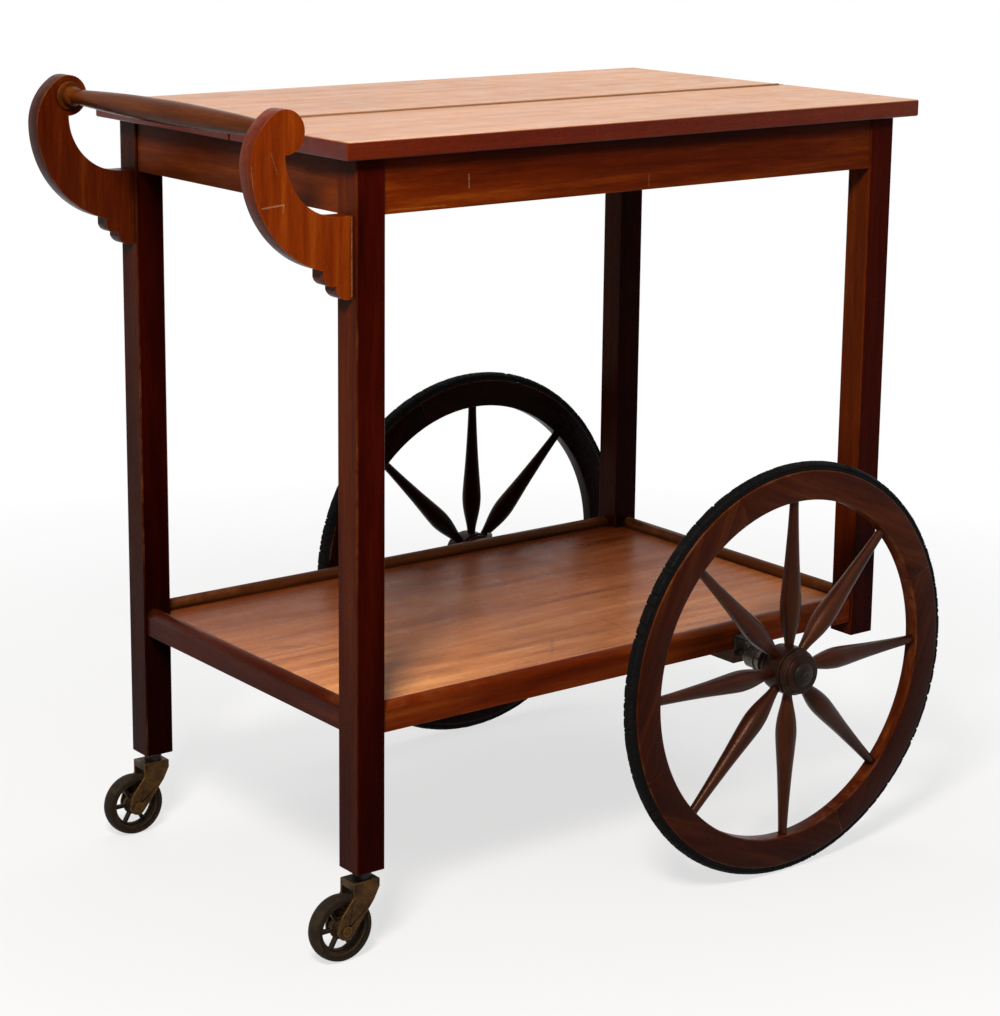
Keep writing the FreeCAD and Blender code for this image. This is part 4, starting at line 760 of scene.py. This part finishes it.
def threaded_shank(top):
    """Points and faces of a thread from the eye up to this height, open at its foot inside the eye."""
    points, faces = [], []
    for ring in range(THREAD_RINGS + 1):
        run = SHANK_START + (top - SHANK_START) * ring / THREAD_RINGS
        for segment in range(THREAD_SEGMENTS):
            share = segment / THREAD_SEGMENTS
            ridge = 0.5 + 0.5 * math.cos(FULL_TURN * (run / THREAD_PITCH - share))
            points.append((*circle_point(THREAD_ROOT + THREAD_HEIGHT * ridge, FULL_TURN * share), run))
    for ring in range(THREAD_RINGS):
        faces.extend(band(ring * THREAD_SEGMENTS, (ring + 1) * THREAD_SEGMENTS, THREAD_SEGMENTS))
    faces.append(tuple(range(THREAD_RINGS * THREAD_SEGMENTS, (THREAD_RINGS + 1) * THREAD_SEGMENTS)))
    return points, faces


def eye_section():
    """Section of an eye's wire, flattened where it lies on the axle."""
    section = []
    for step in range(16):
        thick, wide = circle_point(1, FULL_TURN * step / 16)
        section.append((max(EYE_RADIUS + EYE_HALF_THICK * thick, EYE_HOLE), EYE_HALF_WIDE * wide))
    return section


def make_eye_bolts(material):
    """Two eyes round the axle with threaded shanks."""
    low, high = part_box("eye_bolts")
    axle_low, axle_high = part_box("axle")
    axle = (axle_low + axle_high) / 2
    eye_points, eye_faces = sweep(eye_section(), 0, 360, 48, capped=False)
    shank_points, shank_faces = threaded_shank((high.z - axle.z) / MM)
    parts = []
    for middle in (low.y + EYE_INSET * MM, high.y - EYE_INSET * MM):
        centre = Vector((axle.x, middle, axle.z))
        parts.append(([centre + Vector((u, along, v)) * MM for u, v, along in eye_points], eye_faces))
        parts.append(([centre + Vector(point) * MM for point in shank_points], shank_faces))
    points, faces = join(parts)
    put("eye_bolts_threaded", points, faces, "eye_bolts", material)


WELD_REACH = 0.005 * MM
EASED_ANGLE = math.radians(32)


def soften(node, width, segments=2):
    """Eases a carried-over node's edges by this width in mm and keeps its flats flat."""
    piece = NODES[node]
    weld = piece.modifiers.new("weld", "WELD")
    weld.merge_threshold = WELD_REACH
    bevel = piece.modifiers.new("arris", "BEVEL")
    bevel.width = width * MM
    bevel.segments = segments
    bevel.limit_method = "ANGLE"
    bevel.angle_limit = EASED_ANGLE
    bevel.harden_normals = True


# ---------------------------------------------------------------- scratches and stains

def on_face(axis, level, lines):
    """Marks on a flat face at one place along an axis; the lines give the other two places in mm."""
    marks = []
    for first, last, width, tint, amount in lines:
        ends = []
        for point in (first, last):
            place = [number * MM for number in point]
            place.insert("xyz".index(axis), level)
            ends.append(tuple(place))
        marks.append((*ends, width * MM, tint, amount))
    return marks


PALE_SCRATCH = (214, 172, 128)
DARK_STAIN = (46, 20, 10)
BRACKET_MARKS = on_face("y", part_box("handle_bracket_near")[0].y, (
    ((-374.1, 690.3), (-352.5, 691.9), 1.0, PALE_SCRATCH, 0.38),
    ((-352.5, 691.9), (-353.5, 685.0), 0.7, PALE_SCRATCH, 0.30),
    ((-365.0, 736.0), (-359.0, 718.0), 0.6, PALE_SCRATCH, 0.18),
    ((-384.0, 726.0), (-382.5, 706.0), 0.6, PALE_SCRATCH, 0.22),
    ((-284.6, 608.0), (-284.6, 676.0), 0.6, (190, 152, 122), 0.6),
))
APRON_MARKS = on_face("y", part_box("apron_near")[0].y, (
    ((-164.3, 705.1), (-164.0, 692.8), 0.5, (226, 186, 140), 0.6),
    ((42.1, 690.7), (42.4, 679.6), 0.5, (206, 156, 108), 0.4),
    ((-250.0, 680.0), (-190.0, 679.5), 0.7, (206, 132, 66), 0.35),
    ((150.0, 686.0), (210.0, 685.0), 0.6, (52, 14, 4), 0.5),
))
SHELF_MARKS = on_face("z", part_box("shelf_panel")[1].z, (
    ((-226.9, 29.4), (-202.3, 19.7), 7.0, DARK_STAIN, 0.55),
    ((-196.0, 25.0), (-185.0, 12.0), 5.0, DARK_STAIN, 0.35),
    ((140.0, 175.0), (214.6, 170.0), 16.0, DARK_STAIN, 0.5),
    ((10.3, -99.1), (-21.3, -138.7), 2.2, DARK_STAIN, 0.4),
    ((90.3, -74.4), (90.4, -99.2), 1.6, DARK_STAIN, 0.4),
    ((90.4, -99.2), (81.2, -133.1), 1.6, DARK_STAIN, 0.4),
    ((-19.9, 79.8), (40.0, 70.0), 22.0, (196, 138, 90), 0.35),
    ((-200.0, -70.0), (-70.0, -140.0), 2.0, (202, 140, 92), 0.4),
))


# ---------------------------------------------------------------- woods

TOP_TONES = ((156, 88, 44), (196, 128, 74), (218, 156, 102))
LEG_TONES = ((58, 16, 3), (98, 36, 6), (128, 58, 16))
# Darker copy of the leg tones for the far legs: painted shade.
SHADED_FAR_LEG_TONES = ((40, 10, 2), (70, 22, 5), (98, 40, 12))
APRON_TONES = ((62, 14, 2), (102, 33, 4), (142, 62, 13))
# Lighter copy of the apron tones for the handle-end apron: painted light.
LIT_END_APRON_TONES = ((72, 22, 5), (112, 46, 11), (150, 80, 28))
RAIL_TONES = ((70, 18, 3), (110, 36, 6), (150, 68, 20))
# Darker copy of the rail tones for the handle-end shelf rail: painted shade.
SHADED_END_RAIL_TONES = ((46, 9, 2), (74, 20, 4), (112, 48, 16))
# Darker copy of the rail tones for the far and wheel-end shelf rails: painted shade.
SHADED_FAR_RAIL_TONES = ((46, 18, 6), (80, 38, 14), (122, 68, 32))
SHELF_TONES = ((118, 56, 26), (172, 96, 52), (202, 130, 82))
BRACKET_TONES = ((102, 30, 2), (142, 53, 6), (172, 80, 18))
# Darker copy of the bracket tones for the far bracket: painted shade.
SHADED_FAR_BRACKET_TONES = ((62, 15, 2), (90, 28, 4), (120, 52, 12))
GRIP_TONES = ((58, 22, 4), (98, 44, 9), (132, 68, 20))
RIM_TONES = ((30, 6, 2), (56, 16, 6), (88, 38, 18))
SPOKE_TONES = ((28, 8, 3), (52, 18, 7), (84, 36, 16))
HUB_TONES = ((20, 10, 8), (36, 20, 15), (54, 34, 26))
BEAM_TONES = ((22, 12, 9), (42, 23, 16), (62, 36, 25))
RAW_TONES = ((110, 70, 40), (150, 102, 62), (184, 136, 92))

HANDLE_WAY = (-1, 0, 0)
WHEEL_WAY = (1, 0, 0)
NEAR_WAY = (0, -1, 0)
FAR_WAY = (0, 1, 0)
UP = (0, 0, 1)
DOWN = (0, 0, -1)

# The top's edges take painted shade, and its wheel end painted light.
TOP_LOOK = dict(
    gloss=0.34, figure=5.0, wear=0.4, specular=0.7, soil=0.25, gleam=(1.0, 0.94, 0.84, 1.0),
    shown=(UP,), painted_shading_tint=(0.25, 0.055, 0.010, 1.0),
    painted_light_and_soil=((WHEEL_WAY, -0.05, 0.38, (1.10, 1.18, 1.26, 1.0)),))
# Leg faces that look across the trolley take painted shade; the legs darken towards the feet, painted shade
# and partly soil.
LEG_LOOK = dict(
    gloss=0.30, wear=0.6, specular=0.03,
    shown=(HANDLE_WAY, WHEEL_WAY), painted_shading_tint=(0.44, 0.17, 0.25, 1.0),
    painted_light_and_soil=((DOWN, -0.45, -0.15, (0.42, 0.30, 0.45, 1.0)),))
# The aprons take a painted shadow under the top's overhang and painted light towards the handle end.
APRON_LOOK = dict(
    figure=5.0, wear=0.4, specular=0.04,
    painted_light_and_soil=((UP, 0.695, 0.722, (0.45, 0.30, 0.4, 1.0)),
             (HANDLE_WAY, 0.02, 0.26, (1.45, 1.50, 1.2, 1.0))))
RAIL_LOOK = dict(gloss=0.30, wear=0.8, specular=0.05, edge=1.8 * MM)
# The shelf takes painted shade towards the far side and the wheel end, and painted light towards the near
# side and the handle end.
SHELF_LOOK = dict(
    gloss=0.26, figure=4.5, wear=0.2, specular=0.06, gleam=(1.0, 0.62, 0.38, 1.0), marks=SHELF_MARKS,
    painted_light_and_soil=((FAR_WAY, 0.02, 0.17, (0.40, 0.28, 0.18, 1.0)),
             (WHEEL_WAY, 0.10, 0.34, (0.75, 0.65, 0.5, 1.0)),
             (NEAR_WAY, -0.04, 0.16, (1.75, 2.10, 2.15, 1.0)),
             (HANDLE_WAY, 0.0, 0.25, (1.55, 1.60, 1.35, 1.0))))
# Bracket edges, the faces that don't look across the trolley, take painted shade.
BRACKET_LOOK = dict(
    gloss=0.30, figure=6.0, wear=0.6, specular=0.07, edge=2.0 * MM, worn_tone=(206, 124, 54),
    shown=(FAR_WAY, NEAR_WAY), painted_shading_tint=(0.62, 0.55, 0.5, 1.0))
RIM_LOOK = dict(gloss=0.28, figure=5.0, wear=0.8, specular=0.06, worn_tone=(168, 118, 88))
SPOKE_LOOK = dict(gloss=0.30, figure=5.0, wear=0.2, gleam=(1.0, 0.6, 0.4, 1.0))
RAW_LOOK = dict(gloss=0.6, wear=0.1)

WOODS = {
    "top_board": wood("top_board_wood", "x", TOP_TONES, **TOP_LOOK),
    "top_leaf": wood("top_leaf_wood", "x", TOP_TONES, shift=(0.4, 3.0, 0), **TOP_LOOK),
    "leg_handle_near": wood("leg_wood_1", "z", LEG_TONES, **LEG_LOOK),
    "leg_handle_far": wood("leg_wood_2", "z", SHADED_FAR_LEG_TONES, shift=(3, 1, 0.7), **LEG_LOOK),
    "leg_wheel_near": wood("leg_wood_3", "z", LEG_TONES, shift=(5, 2, 1.6), **LEG_LOOK),
    "leg_wheel_far": wood("leg_wood_4", "z", SHADED_FAR_LEG_TONES, shift=(7, 4, 2.3), **LEG_LOOK),
    "apron_near": wood("apron_wood_1", "x", APRON_TONES, marks=APRON_MARKS, **APRON_LOOK),
    "apron_far": wood("apron_wood_2", "x", APRON_TONES, shift=(0.6, 2, 2), **APRON_LOOK),
    "apron_handle_end": wood("apron_wood_3", "y", LIT_END_APRON_TONES, **APRON_LOOK),
    "apron_wheel_end": wood("apron_wood_4", "y", APRON_TONES, shift=(1, 0.5, 1), **APRON_LOOK),
    "shelf_rail_near": wood("shelf_rail_wood_1", "x", RAIL_TONES, **RAIL_LOOK),
    "shelf_rail_far": wood("shelf_rail_wood_2", "x", SHADED_FAR_RAIL_TONES, shift=(0.6, 2, 2), **RAIL_LOOK),
    "shelf_rail_handle_end": wood("shelf_rail_wood_3", "y", SHADED_END_RAIL_TONES, **RAIL_LOOK),
    "shelf_rail_wheel_end": wood("shelf_rail_wood_4", "y", SHADED_FAR_RAIL_TONES, shift=(2, 0.6, 2),
                                 **RAIL_LOOK),
    "shelf_panel": wood("shelf_panel_wood", "x", SHELF_TONES, **SHELF_LOOK),
    "center_bearer": wood("bearer_wood", "x", RAW_TONES, **RAW_LOOK),
    "glue_blocks": wood("glue_block_wood", "x", RAW_TONES, **RAW_LOOK),
    "bracket_dowels": wood("dowel_wood", "x", RAW_TONES, **RAW_LOOK),
    "axle_beam": wood("axle_beam_wood", "y", BEAM_TONES, gloss=0.5, wear=0.3),
    "handle_bracket_near": wood("bracket_wood_1", "z", BRACKET_TONES, marks=BRACKET_MARKS,
                                **BRACKET_LOOK),
    "handle_bracket_far": wood("bracket_wood_2", "z", SHADED_FAR_BRACKET_TONES, shift=(3, 2, 0.5),
                               **BRACKET_LOOK),
}
GRIP_WOOD = wood("grip_wood", "stock", GRIP_TONES, gloss=0.20, figure=5.0, wear=0.2, specular=0.04)
RIM_WOODS = {
    # The near rim's round inner and outer faces and its upper part take painted light.
    "near": wood("rim_wood_near", "stock", RIM_TONES, shown=(FAR_WAY, NEAR_WAY),
                 painted_shading_tint=(2.4, 2.8, 1.6, 1.0), painted_light_and_soil=((UP, 0.18, 0.36, (1.6, 1.9, 1.4, 1.0)),),
                 **RIM_LOOK),
    # The far rim's faces that don't look outward take painted shade.
    "far": wood("rim_wood_far", "stock", RIM_TONES, shown=(FAR_WAY,), painted_shading_tint=(0.30, 0.30, 0.45, 1.0),
                **RIM_LOOK),
}
SPOKE_WOODS = {
    "near": wood("spoke_wood_near", "stock", SPOKE_TONES, specular=0.18, **SPOKE_LOOK),
    # The far spokes take painted shade on faces that don't look outward, and a lower specular level than the
    # near ones.
    "far": wood("spoke_wood_far", "stock", SPOKE_TONES, specular=0.06, shown=(FAR_WAY,),
                painted_shading_tint=(0.42, 0.40, 0.50, 1.0), **SPOKE_LOOK),
}
HUB_WOOD = wood("hub_wood", "stock", HUB_TONES, figure=5.0, wear=0.8, specular=0.10,
                worn_tone=(140, 112, 94), edge=0.7 * MM)


# ---------------------------------------------------------------- metals and rubber

VARNISH_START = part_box("top_leaf")[1].z - 0.5 * MM

SLOT_FINISHES = {
    "axle_steel": metal("axle_steel", (104, 96, 88), (44, 36, 30), (160, 150, 138)),
    "hanger_iron": metal("hanger_iron", (70, 62, 56), (34, 28, 24), (132, 122, 110), rough=0.5),
    "hub_cap_metal": metal("hub_cap_metal", (34, 22, 17), (16, 11, 9), (104, 86, 72), metallic=0.1,
                           specular=0.12),
    "bush_iron": metal("bush_iron", (92, 84, 78), (48, 38, 32), (140, 130, 120)),
    "hinge_brass": metal("hinge_metal", (120, 86, 44), (62, 42, 22), (172, 134, 78), rough=0.42,
                         metallic=0.8, varnished=(VARNISH_START, (128, 74, 42))),
    "caster_brass": metal("caster_brass", (78, 50, 14), (34, 20, 6), (166, 124, 62), rough=0.42),
    "caster_steel": metal("blackened_steel", (48, 44, 42), (20, 17, 16), (100, 92, 86)),
    "caster_wheel_dark": metal("caster_wheel_metal", (44, 31, 18), (18, 12, 8), (110, 86, 58), rough=0.5,
                               metallic=0.5, specular=0.15),
    "caster_tread_dark": rubber("caster_tread_rubber", (40, 32, 24), (86, 70, 52), crack_scale=420.0,
                                crack_depth=0.1 * MM),
    "tyre_rubber": rubber("tyre_rubber", (10, 9, 9), (34, 30, 27), crack_scale=170.0,
                          crack_depth=0.4 * MM),
    "rim_wood": RIM_WOODS["near"],
    "spoke_wood": SPOKE_WOODS["near"],
    "hub_wood": HUB_WOOD,
    "handle_wood": GRIP_WOOD,
}


# ---------------------------------------------------------------- the pieces and their finishes

for label, piece in NODES.items():
    finish = WOODS.get(label) or SLOT_FINISHES[SLOT_OF[label]]
    for index in range(len(piece.material_slots)):
        piece.material_slots[index].material = finish

for side in SIDES:
    make_rim(side, RIM_WOODS[side])
    make_tyre(side, SLOT_FINISHES["tyre_rubber"])
    make_spokes(side, SPOKE_WOODS[side])
    make_hub(side, HUB_WOOD)
    make_cap(side, SLOT_FINISHES["hub_cap_metal"])
    soften(f"handle_bracket_{side}", 1.6, segments=3)
    soften(f"caster_fork_{side}", 0.5)
    soften(f"caster_wheel_{side}", 0.35)
    for end in ("handle", "wheel"):
        soften(f"leg_{end}_{side}", 0.4)
for side in ("near", "far", "handle_end", "wheel_end"):
    soften(f"apron_{side}", 0.5)
    soften(f"shelf_rail_{side}", 0.7)
for label in ("center_bearer", "glue_blocks", "axle_beam", "hanger_plates", "hanger_nuts", "axle_nuts"):
    soften(label, 0.4)
make_push_rail(GRIP_WOOD)
make_eye_bolts(SLOT_FINISHES["axle_steel"])


# ---------------------------------------------------------------- floor and backdrop

FLOOR_RADIUS = 9.0
FLOOR_RINGS = 12
FLOOR_SEGMENTS = 72
FLOOR_CROWDING = 1.6
FLOOR_BOUNCE = (120, 116, 112)
SKY_COLOR = (1.0, 0.99, 0.97, 1)
SKY_STRENGTH = 0.15


def shown_rays(tree):
    """1 for what the camera, gloss and glass show, and 0 for the light that reaches a surface."""
    ray = tree.nodes.new("ShaderNodeLightPath")
    shown = ray.outputs["Is Camera Ray"]
    for kind in ("Is Glossy Ray", "Is Transmission Ray"):
        either = tree.nodes.new("ShaderNodeMath")
        either.operation = "MAXIMUM"
        tree.links.new(shown, either.inputs[0])
        tree.links.new(ray.outputs[kind], either.inputs[1])
        shown = either.outputs[0]
    return shown


def floor_paper():
    """Pale paper that throws back little light; away from the trolley it turns plain white to the camera."""
    surface = Surface("floor_paper")
    place = surface.place()
    tone = surface.noise(place, 2.0, detail=3)
    pale = surface.ramp(tone, ((0.2, shade(236, 235, 234)), (0.8, shade(242, 241, 240))))
    seen = shown_rays(surface.tree)
    paper = surface.mix(seen, shade(*FLOOR_BOUNCE), pale)
    material = surface.finish(Base_Color=paper, Roughness=0.9, Specular_IOR_Level=0.2)
    away = surface.vector_math("LENGTH", place, (0, 0, 0), "Value")
    fade = surface.ramp(surface.math("DIVIDE", away, 2.0), ((0.25, 0.68), (0.75, 1.0)))
    white = surface.node("ShaderNodeEmission", Strength=1.0)
    blend = surface.node("ShaderNodeMixShader")
    surface.feed(blend.inputs[0], surface.times(fade, seen))
    surface.feed(blend.inputs[1], surface.shader.outputs[0])
    surface.feed(blend.inputs[2], white.outputs[0])
    surface.feed(surface.tree.nodes["Material Output"].inputs["Surface"], blend.outputs[0])
    return material


def make_floor():
    """A wide round floor whose rings lie closer together near the trolley."""
    points, faces = [(0, 0, 0)], []
    for ring in range(1, FLOOR_RINGS + 1):
        reach = FLOOR_RADIUS * (ring / FLOOR_RINGS) ** FLOOR_CROWDING
        for segment in range(FLOOR_SEGMENTS):
            points.append((*circle_point(reach, FULL_TURN * segment / FLOOR_SEGMENTS), 0))
    for segment in range(FLOOR_SEGMENTS):
        faces.append((0, 1 + segment, 1 + (segment + 1) % FLOOR_SEGMENTS))
    for ring in range(FLOOR_RINGS - 1):
        rings = band(1 + ring * FLOOR_SEGMENTS, 1 + (ring + 1) * FLOOR_SEGMENTS, FLOOR_SEGMENTS)
        faces.extend(tuple(reversed(face)) for face in rings)
    mesh = bpy.data.meshes.new("floor")
    mesh.from_pydata(points, [], faces)
    mesh.materials.append(floor_paper())
    floor = add_object("floor", mesh)


def make_world():
    """Plain soft light all round, white to the camera and in gloss and glass."""
    world = bpy.data.worlds.new("studio")
    world.use_nodes = True
    tree = world.node_tree
    sky = tree.nodes["Background"]
    sky.inputs["Color"].default_value = SKY_COLOR
    sky.inputs["Strength"].default_value = SKY_STRENGTH
    white = tree.nodes.new("ShaderNodeBackground")
    white.inputs["Strength"].default_value = 1.0
    white.inputs["Color"].default_value = (1, 1, 1, 1)
    mixed = tree.nodes.new("ShaderNodeMixShader")
    tree.links.new(shown_rays(tree), mixed.inputs["Fac"])
    tree.links.new(sky.outputs[0], mixed.inputs[1])
    tree.links.new(white.outputs[0], mixed.inputs[2])
    tree.links.new(mixed.outputs[0], tree.nodes["World Output"].inputs["Surface"])
    bpy.context.scene.world = world


make_floor()
make_world()
bpy.context.scene.view_settings.view_transform = "Standard"
